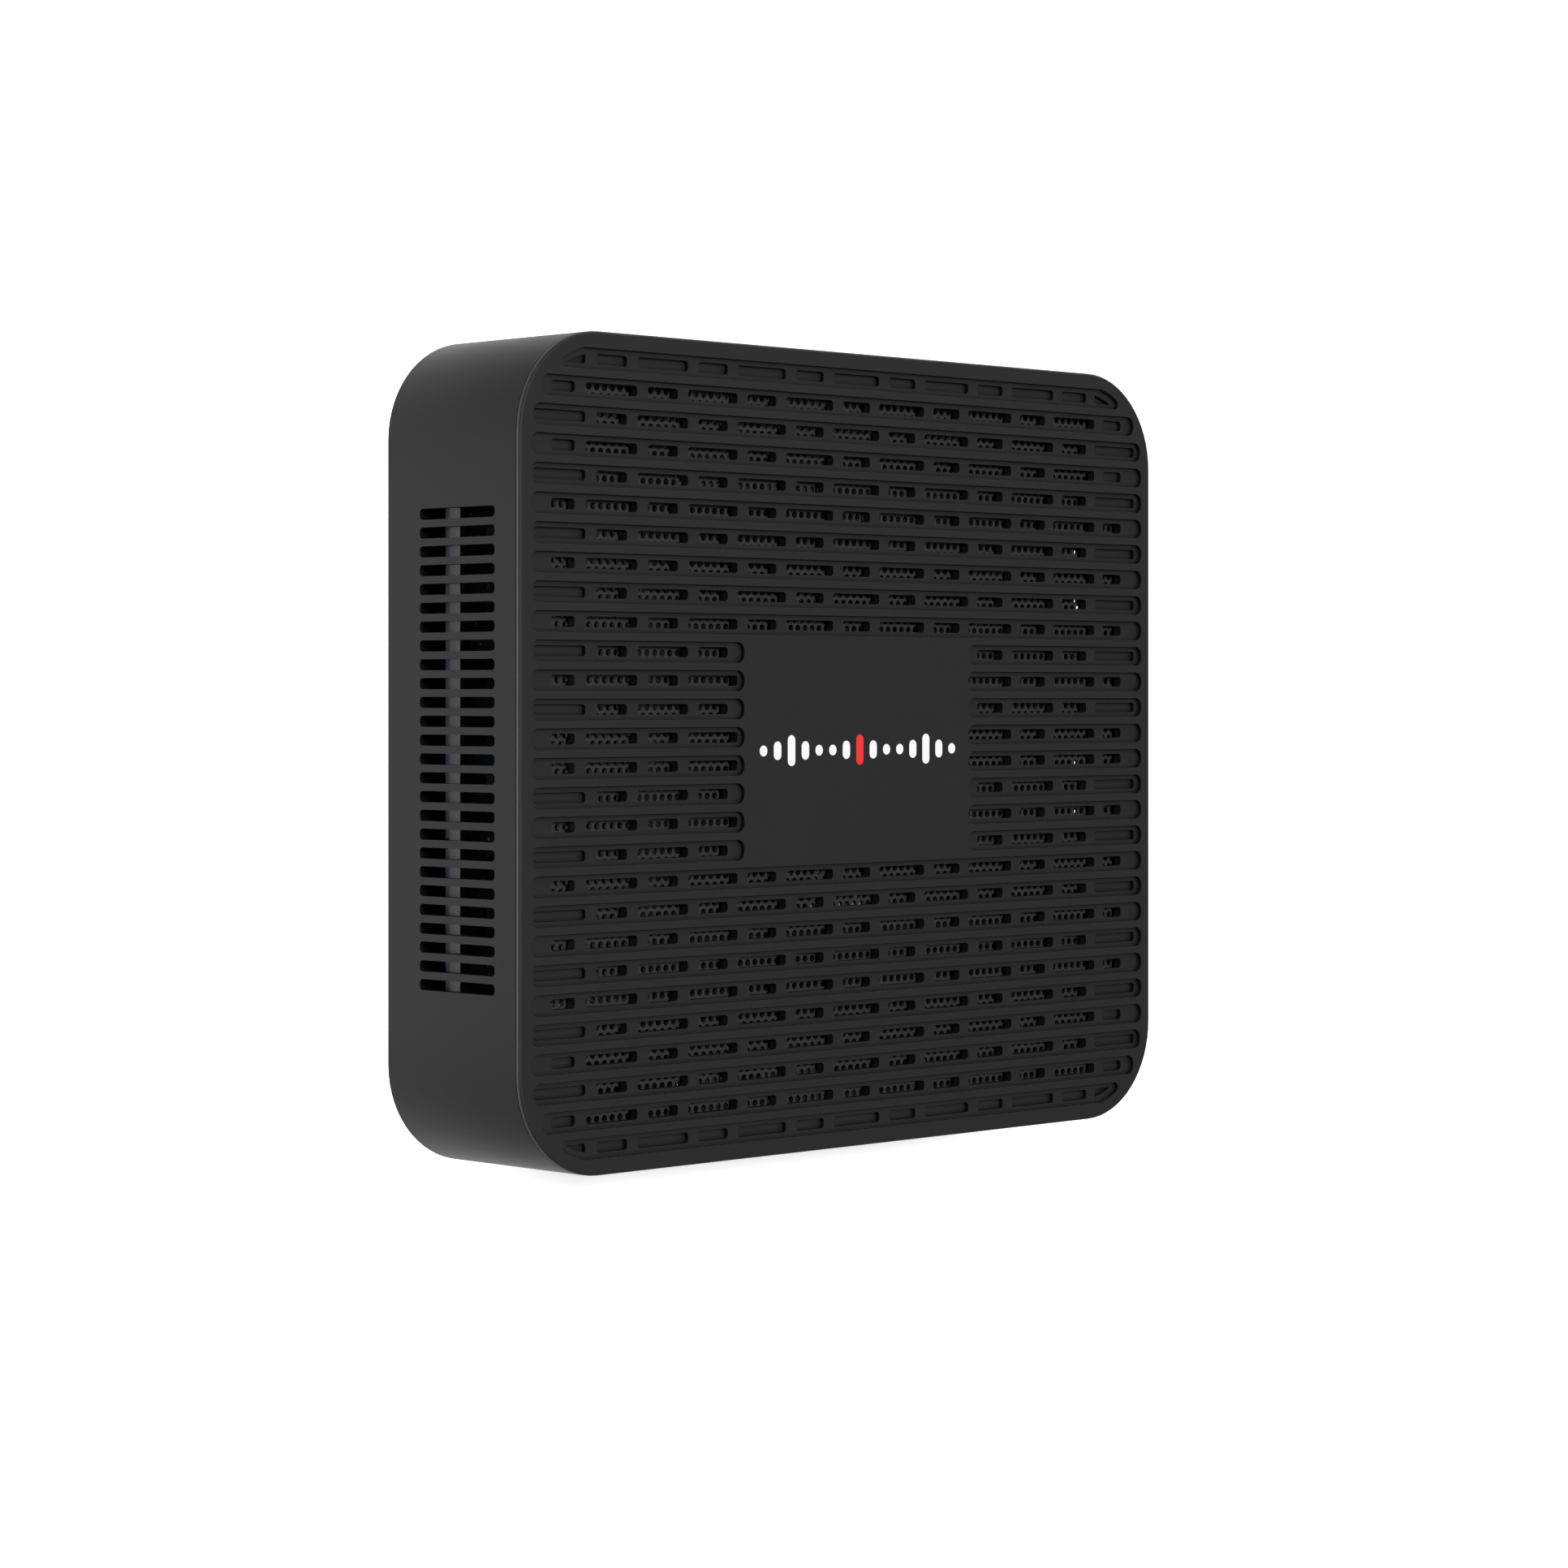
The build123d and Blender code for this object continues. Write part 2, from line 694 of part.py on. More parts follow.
def air_guide():
    """A thin screen between the board and the right vents, with four small windows."""
    low_x, high_x = board_half_x + guide_gap, side_wall_x - guide_gap
    reach = guide_length / 2
    guide = block((low_x, high_x), (-reach, reach), (base_top_z, ledge_z - guide_top_gap))
    low = board_top_z + guide_hole_lift
    for step in (-2.5, -0.5, 5.5, 7.5):
        y = step * row_pitch
        span = (y - guide_hole_width / 2, y + guide_hole_width / 2)
        guide -= block((low_x - 1, high_x + 1), span, (low, low + guide_hole_height))
    return guide


def board_block(x, y, width, depth, height, edge=0.2):
    """A square-edged component on top of the board."""
    high = board_top_z + height
    body = block((x - width / 2, x + width / 2), (y - depth / 2, y + depth / 2), (board_top_z, high))
    return chamfer(body.edges().group_by(Axis.Z)[-1], edge)


def board_can(x, y, radius, height):
    """A round polymer capacitor with its moulded foot."""
    foot = board_block(x, y, 2 * radius + 0.3, 2 * radius + 0.3, 0.9, 0.1)
    can = disc(x, y, radius, board_top_z + 0.8, board_top_z + height)
    return foot + fillet(can.edges().group_by(Axis.Z)[-1], 0.4)


sink_posts = [(x, y) for x in (-29.5, 29.5) for y in (-27.5, 27.5)]
fan_posts = [(x, y) for x in (-fan_hole_spacing / 2, fan_hole_spacing / 2) for y in
             (-fan_hole_spacing / 2, fan_hole_spacing / 2)]


def heat_sink():
    """A base plate with straight fins, four fan posts and four screw pads."""
    half_x, half_y = sink_width / 2, sink_depth / 2
    base = block((-half_x, half_x), (-half_y, half_y), (sink_low_z, fin_low_z))
    top = fin_low_z + fin_height
    count = int((sink_width - fin_thickness) / fin_pitch / 2)
    fins = []
    for index in range(-count, count + 1):
        x = index * fin_pitch
        span = (x - fin_thickness / 2, x + fin_thickness / 2)
        fins.append(block(span, (-half_y, half_y), (fin_low_z - 0.1, top)))
    clear = [disc(x, y, 4.2, fin_low_z, top + 1) for x, y in sink_posts]
    clear += [disc(x, y, 4.0, fin_low_z, top + 1) for x, y in fan_posts]
    posts = [disc(x, y, 2.6, fin_low_z - 0.1, fan_low_z) for x, y in fan_posts]
    holes = [disc(x, y, 1.5, sink_low_z - 1, top) for x, y in sink_posts]
    holes += [disc(x, y, 1.05, fin_low_z + 0.5, fan_low_z + 1) for x, y in fan_posts]
    return base + fins - clear + posts - holes


def cpu():
    """The processor: a thin square carrier with its bare die."""
    carrier = board_block(0, 0, cpu_size, cpu_size, cpu_height * 0.55, 0.1)
    die = block((-6.5, 6.5), (-7, 7), (board_top_z, cpu_top_z))
    return carrier + die


# ---------------------------------------------------------------- fan
fan_floor = 1.0
fan_flange = 2.0
lead_radius = 0.35
lead_start = 7.5
lead_z = fan_low_z + fan_floor - lead_radius - 0.02
header_x, header_y, header_height = 37.5, 1.5, 3.8
strut_width = 3.0
motor_radius = 11.0


def fan_frame():
    """The square fan housing, with its duct, struts, motor seat and bearing tube."""
    body = slab(RectangleRounded(fan_size, fan_size, 3.5), fan_low_z, fan_top_z)
    body -= disc(0, 0, duct_radius, fan_low_z - 1, fan_top_z + 1)
    for x, y in fan_posts:
        pocket = disc(x, y, 3.9, fan_low_z + fan_flange, fan_top_z - 1.6)
        body -= pocket & block((x - 9, x + 9), (y - 9, y + 9), (fan_low_z, fan_top_z))
    seat = disc(0, 0, motor_radius + 0.5, fan_low_z, fan_low_z + fan_floor)
    tube = disc(0, 0, 2.4, fan_low_z, fan_low_z + 4.6)
    low, high = fan_low_z, fan_low_z + fan_floor
    strut = block((motor_radius - 1, duct_radius + 0.8), (-strut_width / 2, strut_width / 2), (low, high))
    struts = [Rot(0, 0, 20 + 90 * turn) * strut for turn in range(4)]
    body = body + seat + tube + struts
    body -= disc(0, 0, shaft_radius + bearing_clearance, fan_low_z + 0.6, fan_top_z)
    body -= [disc(x, y, 1.4, fan_low_z - 1, fan_top_z + 1) for x, y in fan_posts]
    body -= [disc(x, y, 2.5, fan_top_z - 3, fan_top_z + 1) for x, y in fan_posts]
    groove = block((lead_start, fan_size), (-0.45, 0.45), (lead_z - lead_radius - 0.05, high))
    return body - Rot(0, 0, 20) * groove


def fan_motor():
    """The wound stator round the bearing tube, on its small circuit disc."""
    low = fan_low_z + fan_floor
    ring = disc(0, 0, motor_radius, low, low + 0.6)
    core = disc(0, 0, 9.6, low + 1.1, low + 3.3) - disc(0, 0, 6.0, low, low + 4)
    arm = block((1.0, 9.0), (-1.2, 1.2), (low + 0.5, low + 2.8))
    coil = block((3.6, 6.8), (-1.9, 1.9), (low + 0.9, low + 3.5))
    gap = block((8.0, 12.0), (-0.5, 0.5), (low + 0.7, low + 4))
    sectors = [Rot(0, 0, 60 * turn) * shape for turn in range(6) for shape in (arm, coil)]
    gaps = [Rot(0, 0, 30 + 60 * turn) * gap for turn in range(6)]
    tube = disc(0, 0, 2.4, low - 1, low + 5)
    return ring + core + sectors - gaps - tube


def fan_rotor():
    """The hub cup with its shaft and swept blades."""
    low = fan_low_z + fan_floor + 0.9
    top = fan_top_z - 0.3
    cup = disc(0, 0, hub_radius, low, top)
    cup = fillet(cup.edges().group_by(Axis.Z)[-1], 0.6)
    cup -= disc(0, 0, hub_radius - hub_wall - 0.4, low - 1, top - hub_wall)
    shaft = disc(0, 0, shaft_radius, fan_low_z + 0.7, top - 0.2)
    tip = duct_radius - blade_tip_gap
    reach = tip - hub_radius
    blade_high = top - low - 0.3
    path = Line((hub_radius - 0.4, 0, low), (tip + 2, 0, low))
    blades = []
    lean = 34
    root = Plane((hub_radius - 0.4, 0, 0), x_dir=(0, 1, 0), z_dir=(1, 0, 0))
    end = Plane((tip + 1.5, -4.0, 0), x_dir=(0, 1, 0), z_dir=(1, 0, 0))
    middle = (low + top) / 2 - 0.1
    inner = root * Pos(0, middle) * Rot(0, 0, lean) * Rectangle(7.0, 0.7)
    outer = end * Pos(0, middle) * Rot(0, 0, lean - 8) * Rectangle(9.0, 0.6)
    blade = loft([inner.faces()[0], outer.faces()[0]])
    band = disc(0, 0, tip, low + 0.2, top - 0.2) - disc(0, 0, hub_radius - 0.3, low - 1, top + 1)
    blade = blade & band
    for index in range(blade_count):
        blades.append(Rot(0, 0, 360 / blade_count * index) * blade)
    return cup + shaft + blades


# ---------------------------------------------------------------- under the board
def under(shape, x, y, turn=0):
    """A component built upright at the origin, hung under the board."""
    return Pos(x, y, board_under_z) * Rot(0, 0, turn) * Rot(180, 0, 0) * shape


memory_x, memory_y = -15.0, -8.0
storage_x, storage_y = -42.0, 27.0
radio_x, radio_y = 41.0, -4.0
cell_x, cell_y = 48.0, 17.0
card_lift = 2.2
card_thickness = 0.8


def slot_socket(width, depth, height, slot_low, slot_high, slot_width):
    """An edge-card socket whose mouth faces +Y."""
    body = block((-width / 2, width / 2), (-depth, 0), (0, height))
    body = chamfer(body.edges().filter_by(Axis.X).group_by(Axis.Z)[-1], 0.3)
    mouth = block((-slot_width / 2, slot_width / 2), (-4.2, 1), (slot_low, slot_high))
    return body - mouth


def card(width, length, thick, low, chips):
    """A circuit card that starts inside its socket, with chips on its outer face."""
    sheet = block((-width / 2, width / 2), (-4.0, length - 4.0), (low, low + thick))
    solids = []
    for x, y, wide, deep, tall in chips:
        top = low + thick + tall
        chip = block((x - wide / 2, x + wide / 2), (y - deep / 2, y + deep / 2), (low + thick, top))
        solids.append(chamfer(chip.edges().group_by(Axis.Z)[-1], 0.15))
    return sheet + solids


def memory_parts():
    """Memory socket with two sprung arms, and the module lying flat in it."""
    lift, thick, reach = 2.6, 1.2, 22.0
    socket = slot_socket(73.6, 6.2, 5.2, lift - 0.1, lift + thick + 0.1, 69.9)
    arms = []
    for sign in (-1, 1):
        arm = block(sorted((sign * 35.6, sign * 36.6)), (0, reach), (0.8, 4.4))
        hook = block(sorted((sign * 34.3, sign * 36.6)), (reach - 2.6, reach), (lift + thick + 0.05, 4.6))
        foot = block(sorted((sign * 35.6, sign * 37.4)), (reach - 5, reach - 1), (0, 1.0))
        arms.append(arm + hook + foot)
    chips = [(x, 11, 11.2, 9.6, 1.0) for x in (-24, -8, 8, 24)]
    module = card(69.6, 30, thick, lift, chips)
    return socket, arms, module


def storage_parts():
    """Storage card, its socket, its post and its screw."""
    socket = slot_socket(22.4, 8.4, 3.9, card_lift - 0.1, card_lift + card_thickness + 0.1, 22.1)
    chips = [(0, 10, 9, 9, 0.9), (0, 26, 16, 14, 1.1), (0, 48, 16, 14, 1.1)]
    storage = card(22, 80, card_thickness, card_lift, chips)
    storage -= disc(0, 76, 1.7, 0, 9)
    post = disc(0, 76, 2.6, 0, card_lift) - disc(0, 76, 0.85, 0.4, 9)
    seat = card_lift + card_thickness
    screw = cross_screw(0, 76, seat, 2.7, 2.6, 0.8)
    return socket, storage, post, screw


def radio_parts():
    """Radio card with its shield can and two aerial sockets, its post and its screw."""
    socket = slot_socket(22.4, 8.4, 3.9, card_lift - 0.1, card_lift + card_thickness + 0.1, 22.1)
    radio = card(22, 30, card_thickness, card_lift, [(0, 10, 17, 14, 1.3)])
    radio += [disc(x, 21.5, 0.9, card_lift + 0.7, card_lift + 1.5) for x in (-6, 6)]
    radio -= disc(0, 26, 1.7, 0, 9)
    post = disc(0, 26, 2.6, 0, card_lift) - disc(0, 26, 0.85, 0.4, 9)
    seat = card_lift + card_thickness
    screw = cross_screw(0, 26, seat, 2.7, 2.6, 0.8)
    return socket, radio, post, screw


def cell_parts():
    """Clock battery and its holder."""
    holder = disc(0, 0, 11.6, 0, 4.4) - disc(0, 0, 10.2, 0.8, 9)
    opening = block((-5, 5), (6, 14), (2.4, 9))
    holder = holder - opening
    cell = disc(0, 0, 10.0, 0.8, 4.0)
    cell = fillet(cell.edges().group_by(Axis.Z)[-1], 0.4)
    return holder, cell


def lead(points, radius, bend):
    """A round lead along a route with rounded corners."""
    route = FilletPolyline(*points, radius=bend)
    start = Plane(route @ 0, z_dir=route % 0)
    return sweep(start * Circle(radius), route)


aerial_y = half_depth - aerial_inset
aerial_pad_x = 18.0
aerial_lead_radius = 0.55
aerial_lead_z = cavity_z + 0.9


def aerial(y):
    """A flat flexible aerial stuck to the floor of the base."""
    strip = slab(Pos(0, y) * RectangleRounded(40, 7, 1), cavity_z, cavity_z + 0.3)
    pad = disc(aerial_pad_x, y, 1.4, cavity_z, cavity_z + 1.5)
    return strip + pad


def aerial_lead(start_x, y):
    """A thin lead from the radio card down to the floor and along to an aerial."""
    start_y = radio_y - 21.5
    plug_z = board_under_z - card_lift - 1.5
    end_x = aerial_pad_x + 1.4
    points = [
        (start_x, start_y, plug_z),
        (start_x, start_y, aerial_lead_z),
        (start_x, y, aerial_lead_z),
        (end_x, y, aerial_lead_z),
    ]
    plug = disc(start_x, start_y, 1.2, plug_z - 0.9, plug_z)
    return plug + lead(points, aerial_lead_radius, 2.4)


def fan_lead():
    """The fan's lead, from the motor out along a strut and down to its header."""
    cos, sin = math.cos(math.radians(20)), math.sin(math.radians(20))
    out = 37.0
    points = [
        (lead_start * cos, lead_start * sin, lead_z),
        (out * cos, out * sin, lead_z),
        (header_x, header_y, lead_z),
        (header_x, header_y, board_top_z + header_height),
    ]
    return lead(points, lead_radius, 1.5)


# ---------------------------------------------------------------- everything together
def make_parts():
    """All nodes by name."""
    parts = {}
    parts["grille_cover"] = make_lid()
    parts["mesh_sheet"] = make_mesh()
    parts["side_frame"] = make_side_frame()
    parts["bottom_cover"] = make_base()
    parts["feet"] = group([make_foot(sx, sy) for sx, sy in corners])
    seat = foot_stand + head_recess
    screws = [
        cross_screw(sx * screw_x, sy * screw_y, seat, screw_head_radius, 12, up=True)
        for sx, sy in corners
    ]
    parts["case_screws"] = group(screws)
    inserts = []
    for sign in (-1, 1):
        x = sign * bracket_spacing / 2
        sleeve = disc(x, 0, insert_radius - 0.02, foot_stand, foot_stand + insert_length - 0.5)
        inserts.append(sleeve - disc(x, 0, insert_bore, foot_stand - 1, foot_stand + 9))
    parts["bracket_inserts"] = group(inserts)

    parts["front_plate"] = front_plate()
    parts["rear_plate"] = port_plate(1, rear_half, rear_ports)
    for sign, ports in ((-1, front_ports), (1, rear_ports)):
        for name, port in ports.items():
            parts[name] = placed(port[0], port[1], sign)

    parts["power_button"] = power_button()
    parts["power_switch"] = switch_housing(
        button_x, stem_z, 6.4, -switch_depth, 5.0, 6.2, plunger_radius + button_gap
    )
    tip = -switch_depth - 0.8
    parts["power_plunger"] = rod_y(button_x, stem_z, plunger_radius, tip, tip + 2.6)
    parts["reset_switch"] = switch_housing(reset_x, small_z, 4.6, -reset_depth, 3.6, 3.6, 0.9)
    parts["reset_plunger"] = rod_y(reset_x, small_z, 0.6, -reset_depth - 1, -reset_depth + 1.5)
    parts["status_pipe"] = status_pipe()
    parts["status_lamp"] = board_block(lamp_x, -lamp_depth, 1.8, 2.4, 2.9, 0.2)

    parts["main_board"] = main_board()
    board_screws = [
        cross_screw(sx * board_screw_x, sy * board_screw_y, board_top_z, board_screw_head, 6, 1.0)
        for sx, sy in corners
    ]
    parts["board_screws"] = group(board_screws)
    parts["processor"] = cpu()
    parts["thermal_pad"] = block((-8, 8), (-8.5, 8.5), (cpu_top_z, sink_low_z))
    parts["heat_sink"] = heat_sink()
    posts = [
        disc(x, y, 2.6, board_top_z, sink_low_z) - disc(x, y, 1.05, board_top_z - 1, sink_low_z + 1)
        for x, y in sink_posts
    ]
    parts["sink_posts"] = group(posts)
    parts["sink_screws"] = group([cross_screw(x, y, fin_low_z, 2.4, 4.6, 1.0) for x, y in sink_posts])
    parts["fan_frame"] = fan_frame()
    parts["fan_motor"] = fan_motor()
    parts["fan_rotor"] = fan_rotor()
    seat = fan_low_z + fan_flange
    parts["fan_screws"] = group([cross_screw(x, y, seat, 2.3, 5.6, 1.0) for x, y in fan_posts])
    parts["fan_lead"] = fan_lead()
    parts["fan_header"] = board_block(header_x, header_y, 5.0, 3.6, header_height, 0.3)

    edge_x = board_half_x - 0.05 - rail_width
    for sign, name in ((-1, "side_rail_left"), (1, "side_rail_right")):
        span = sorted((sign * edge_x, sign * (edge_x + rail_width)))
        rail = block(span, (-rail_length / 2, rail_length / 2), (board_top_z, board_top_z + rail_height))
        parts[name] = fillet(rail.edges().filter_by(Axis.Y).group_by(Axis.Z)[-1], 0.1)
    parts["air_guide"] = air_guide()
    coils = [board_block(x, y, 6.6, 6.6, 3.0, 0.5) for x in (42, 50) for y in (12, 20, 28)]
    parts["power_coils"] = group(coils)
    cans = [board_can(x, 37.5, 3.1, 6.5) for x in (22, 30, 38)]
    cans += [board_can(x, -38.5, 2.5, 5.6) for x in (-44, -37)]
    parts["capacitors"] = group(cans)
    chips = [(-47, 18, 9, 9, 0.9), (-47, 4, 7, 7, 0.9), (-47, -12, 12, 12, 1.0), (44, -6, 7, 7, 0.9)]
    chips += [(-22, -39.5, 6, 6, 0.8), (-46, -26, 6, 5, 1.6), (51, -22, 8, 8, 0.9)]
    parts["board_chips"] = group([board_block(*chip, 0.1) for chip in chips])

    socket, arms, module = memory_parts()
    parts["memory_socket"] = under(socket, memory_x, memory_y)
    parts["memory_arms"] = group([under(arm, memory_x, memory_y) for arm in arms])
    parts["memory_module"] = under(module, memory_x, memory_y)
    storage = [under(shape, storage_x, storage_y, 90) for shape in storage_parts()]
    radio = [under(shape, radio_x, radio_y) for shape in radio_parts()]
    parts["storage_socket"], parts["storage_card"] = storage[:2]
    parts["radio_socket"], parts["radio_card"] = radio[:2]
    parts["card_posts"] = group([storage[2], radio[2]])
    parts["card_screws"] = group([storage[3], radio[3]])
    holder, cell = cell_parts()
    parts["cell_holder"] = under(holder, cell_x, cell_y)
    parts["coin_cell"] = under(cell, cell_x, cell_y)
    for y, start_x, name in ((-aerial_y, 35.0, "front"), (aerial_y, 47.0, "rear")):
        parts["aerial_" + name] = aerial(y)
        parts["aerial_lead_" + name] = aerial_lead(start_x, y)

    return parts


if __name__ == "__main__":
    os.makedirs("parts", exist_ok=True)
    for name, shape in make_parts().items():
        export_step(shape, f"parts/{name}.step")
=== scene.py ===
"""Looks of a small flat desktop computer: slotted lid over a fine sheet, vented sides, ports."""
import math
import random

import bmesh
import bpy
from bpy.props import (
    FloatProperty,
    FloatVectorProperty,
    IntProperty,
    PointerProperty,
)
from mathutils import Matrix, Vector
from mathutils.geometry import delaunay_2d_cdt


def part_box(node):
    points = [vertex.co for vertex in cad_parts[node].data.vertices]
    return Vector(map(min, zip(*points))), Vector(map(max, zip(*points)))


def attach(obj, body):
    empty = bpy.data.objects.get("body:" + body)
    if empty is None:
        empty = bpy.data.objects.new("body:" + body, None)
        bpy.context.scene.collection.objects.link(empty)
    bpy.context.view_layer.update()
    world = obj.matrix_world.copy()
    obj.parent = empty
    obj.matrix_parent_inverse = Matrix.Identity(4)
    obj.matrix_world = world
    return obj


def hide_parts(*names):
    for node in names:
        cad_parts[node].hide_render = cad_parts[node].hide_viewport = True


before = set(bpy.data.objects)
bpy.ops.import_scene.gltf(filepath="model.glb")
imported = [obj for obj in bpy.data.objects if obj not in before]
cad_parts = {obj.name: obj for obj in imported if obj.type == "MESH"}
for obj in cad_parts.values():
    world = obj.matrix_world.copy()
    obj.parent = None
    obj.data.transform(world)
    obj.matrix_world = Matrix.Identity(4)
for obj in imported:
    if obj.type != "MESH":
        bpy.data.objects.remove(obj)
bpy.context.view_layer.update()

bl_info = {
    "name": "Slotted Desktop Computer",
    "version": (1, 0, 0),
    "blender": (4, 5, 0),
    "location": "View3D > Sidebar > Computer",
    "description": "Builds the finishes and fine pieces of a small slotted desktop computer",
    "category": "Object",
}

MM = 0.001
CASE = "case"
LID_LOW, LID_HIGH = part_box("grille_cover")
SHEET_LOW, SHEET_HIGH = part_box("mesh_sheet")
FRAME_LOW, FRAME_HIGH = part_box("side_frame")
BOARD_LOW, BOARD_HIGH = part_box("main_board")


# ---------------------------------------------------------------- shader building
class Wire:
    """An output socket that Python operators can use: each one adds a Math node."""

    def __init__(self, paint, socket):
        self.paint = paint
        self.socket = socket

    def maths(self, operation, *values, clamp=False):
        settings = {"operation": operation, "use_clamp": clamp}
        return self.paint.add("ShaderNodeMath", settings, dict(enumerate((self, *values))))

    def flipped(self, operation, value):
        return self.paint.add("ShaderNodeMath", {"operation": operation}, {0: value, 1: self})

    def __add__(self, other):
        return self.maths("ADD", other)

    def __sub__(self, other):
        return self.maths("SUBTRACT", other)

    def __mul__(self, other):
        return self.maths("MULTIPLY", other)

    def __truediv__(self, other):
        return self.maths("DIVIDE", other)

    def __pow__(self, other):
        return self.maths("POWER", other)

    def __gt__(self, other):
        return self.maths("GREATER_THAN", other)

    def __lt__(self, other):
        return self.maths("LESS_THAN", other)

    def __radd__(self, other):
        return self.flipped("ADD", other)

    def __rsub__(self, other):
        return self.flipped("SUBTRACT", other)

    def __rmul__(self, other):
        return self.flipped("MULTIPLY", other)

    def __rtruediv__(self, other):
        return self.flipped("DIVIDE", other)

    def clamped(self):
        return self.maths("ADD", 0.0, clamp=True)


class Paint:
    """One material being put together."""

    def __init__(self, name):
        self.material = bpy.data.materials.new(name)
        self.material.use_nodes = True
        self.tree = self.material.node_tree
        self.tree.nodes.clear()

    def add(self, kind, settings=None, sockets=None, out=0):
        """A node of that type, its settings set first, then its sockets' values or links."""
        node = self.tree.nodes.new(kind)
        for key, value in (settings or {}).items():
            if key == "stops":
                self.set_stops(node.color_ramp, value)
            else:
                setattr(node, key, value)
        for key, value in (sockets or {}).items():
            if isinstance(value, Wire):
                self.tree.links.new(value.socket, node.inputs[key])
            else:
                node.inputs[key].default_value = value
        return Wire(self, node.outputs[out])

    @staticmethod
    def set_stops(ramp, stops):
        while len(ramp.elements) < len(stops):
            ramp.elements.new(0.5)
        for element, (place, colour) in zip(ramp.elements, stops):
            element.position = place
            element.color = colour

    def place(self, stretch=(1, 1, 1)):
        """The point on the piece, in metres, stretched along each axis."""
        spot = self.add("ShaderNodeTexCoord", out="Object")
        if stretch == (1, 1, 1):
            return spot
        settings = {"vector_type": "POINT"}
        return self.add("ShaderNodeMapping", settings, {"Vector": spot, "Scale": stretch})

    def noise(self, size, detail=2.0, rough=0.5, stretch=(1, 1, 1)):
        """Soft noise with lumps of about that size in metres, from 0 to 1."""
        sockets = {
            "Vector": self.place(stretch),
            "Scale": 1 / size,
            "Detail": detail,
            "Roughness": rough,
        }
        return self.add("ShaderNodeTexNoise", {"noise_dimensions": "3D"}, sockets)

    def cells(self, size, feature="F1", stretch=(1, 1, 1), out="Distance"):
        """Distance in a cell pattern whose cells are about that size in metres."""
        sockets = {"Vector": self.place(stretch), "Scale": 1 / size}
        return self.add("ShaderNodeTexVoronoi", {"feature": feature}, sockets, out)

    def blend(self, share, first, second, mode="MIX"):
        """A colour between two colours."""
        settings = {"data_type": "RGBA", "blend_type": mode, "clamp_factor": True}
        mix = self.tree.nodes.new("ShaderNodeMix")
        for key, value in settings.items():
            setattr(mix, key, value)
        values = ((0, share), (6, first), (7, second))
        for index, value in values:
            if isinstance(value, Wire):
                self.tree.links.new(value.socket, mix.inputs[index])
            else:
                mix.inputs[index].default_value = value if index == 0 else rgba(value)
        return Wire(self, mix.outputs[2])

    def inside(self, low, high):
        """1 inside a box of the frame and 0 outside it."""
        spot = self.place()
        split = self.tree.nodes.new("ShaderNodeSeparateXYZ")
        self.tree.links.new(spot.socket, split.inputs[0])
        mask = None
        for axis in range(3):
            value = Wire(self, split.outputs[axis])
            part = (value > low[axis]) * (value < high[axis])
            mask = part if mask is None else mask * part
        return mask

    def bump(self, height, distance, strength=1.0, edge=0.0):
        """Small relief from a height, on top of slightly rounded edges."""
        sockets = {"Height": height, "Distance": distance, "Strength": strength}
        if edge:
            sockets["Normal"] = self.add("ShaderNodeBevel", {"samples": 4}, {"Radius": edge})
        return self.add("ShaderNodeBump", {}, sockets)

    def finish(self, **sockets):
        """Ends the material in a Principled shader with those sockets."""
        named = {key.replace("_", " "): value for key, value in sockets.items()}
        for key in ("Base Color", "Emission Color", "Coat Tint", "Specular Tint"):
            if key in named and not isinstance(named[key], Wire):
                named[key] = rgba(named[key])
        shader = self.add("ShaderNodeBsdfPrincipled", {}, named)
        self.add("ShaderNodeOutputMaterial", {}, {"Surface": shader}, out=slice(0))
        return self.material


def rgba(colour):
    return (*colour[:3], 1.0)


def shade(colour, factor):
    return tuple(channel * factor for channel in colour[:3])


# ---------------------------------------------------------------- finishes
def moulded(name, colour, rough, grain=0.16 * MM, depth=0.004 * MM, gleam=0.5, crevice_shade_reach=0.0):
    """Spark-textured plastic: fine grain, uneven tone and gloss, eased edges, and painted shade
    that darkens the colour in crevices and recesses.
    """
    spread, edge = 0.08, 0.04 * MM
    paint = Paint(name)
    fine = paint.noise(grain, detail=3.0, rough=0.65)
    broad = paint.noise(9 * MM, detail=2.0)
    tone = (fine * 0.6 + broad * 0.4).clamped()
    base = paint.blend(tone, shade(colour, 1 - spread), shade(colour, 1 + spread))
    # Painted shade: ambient occlusion darkens the base colour in crevices and recesses, where
    # shade falls, so their edges show darker lines.
    if crevice_shade_reach:
        steep, start, crevice_shade_tone = 3.2, 1.9, 0.12
        settings = {"samples": 4, "only_local": True}
        sockets = {"Distance": crevice_shade_reach}
        open_share = paint.add("ShaderNodeAmbientOcclusion", settings, sockets, out="AO")
        base = paint.blend((open_share * steep - start).clamped(), shade(colour, crevice_shade_tone), base)
    gloss = rough - 0.06 + fine * 0.08 + broad * 0.05
    normal = paint.bump(fine, depth, 1.0, edge)
    return paint.finish(
        Base_Color=base, Roughness=gloss, Normal=normal, Specular_IOR_Level=gleam
    )


def brushed(name, colour, rough, along=(1, 1, 1)):
    """Plated or rolled metal: fine lines along one axis, faint cloudy stains."""
    depth, edge = 0.004 * MM, 0.05 * MM
    paint = Paint(name)
    lines = paint.noise(0.12 * MM, detail=3.0, stretch=along)
    stain = paint.noise(2.5 * MM, detail=4.0)
    base = paint.blend(stain, shade(colour, 0.86), colour)
    gloss = rough - 0.1 + lines * 0.14 + stain * 0.08
    normal = paint.bump(lines, depth, 1.0, edge)
    return paint.finish(Base_Color=base, Metallic=1.0, Roughness=gloss, Normal=normal)


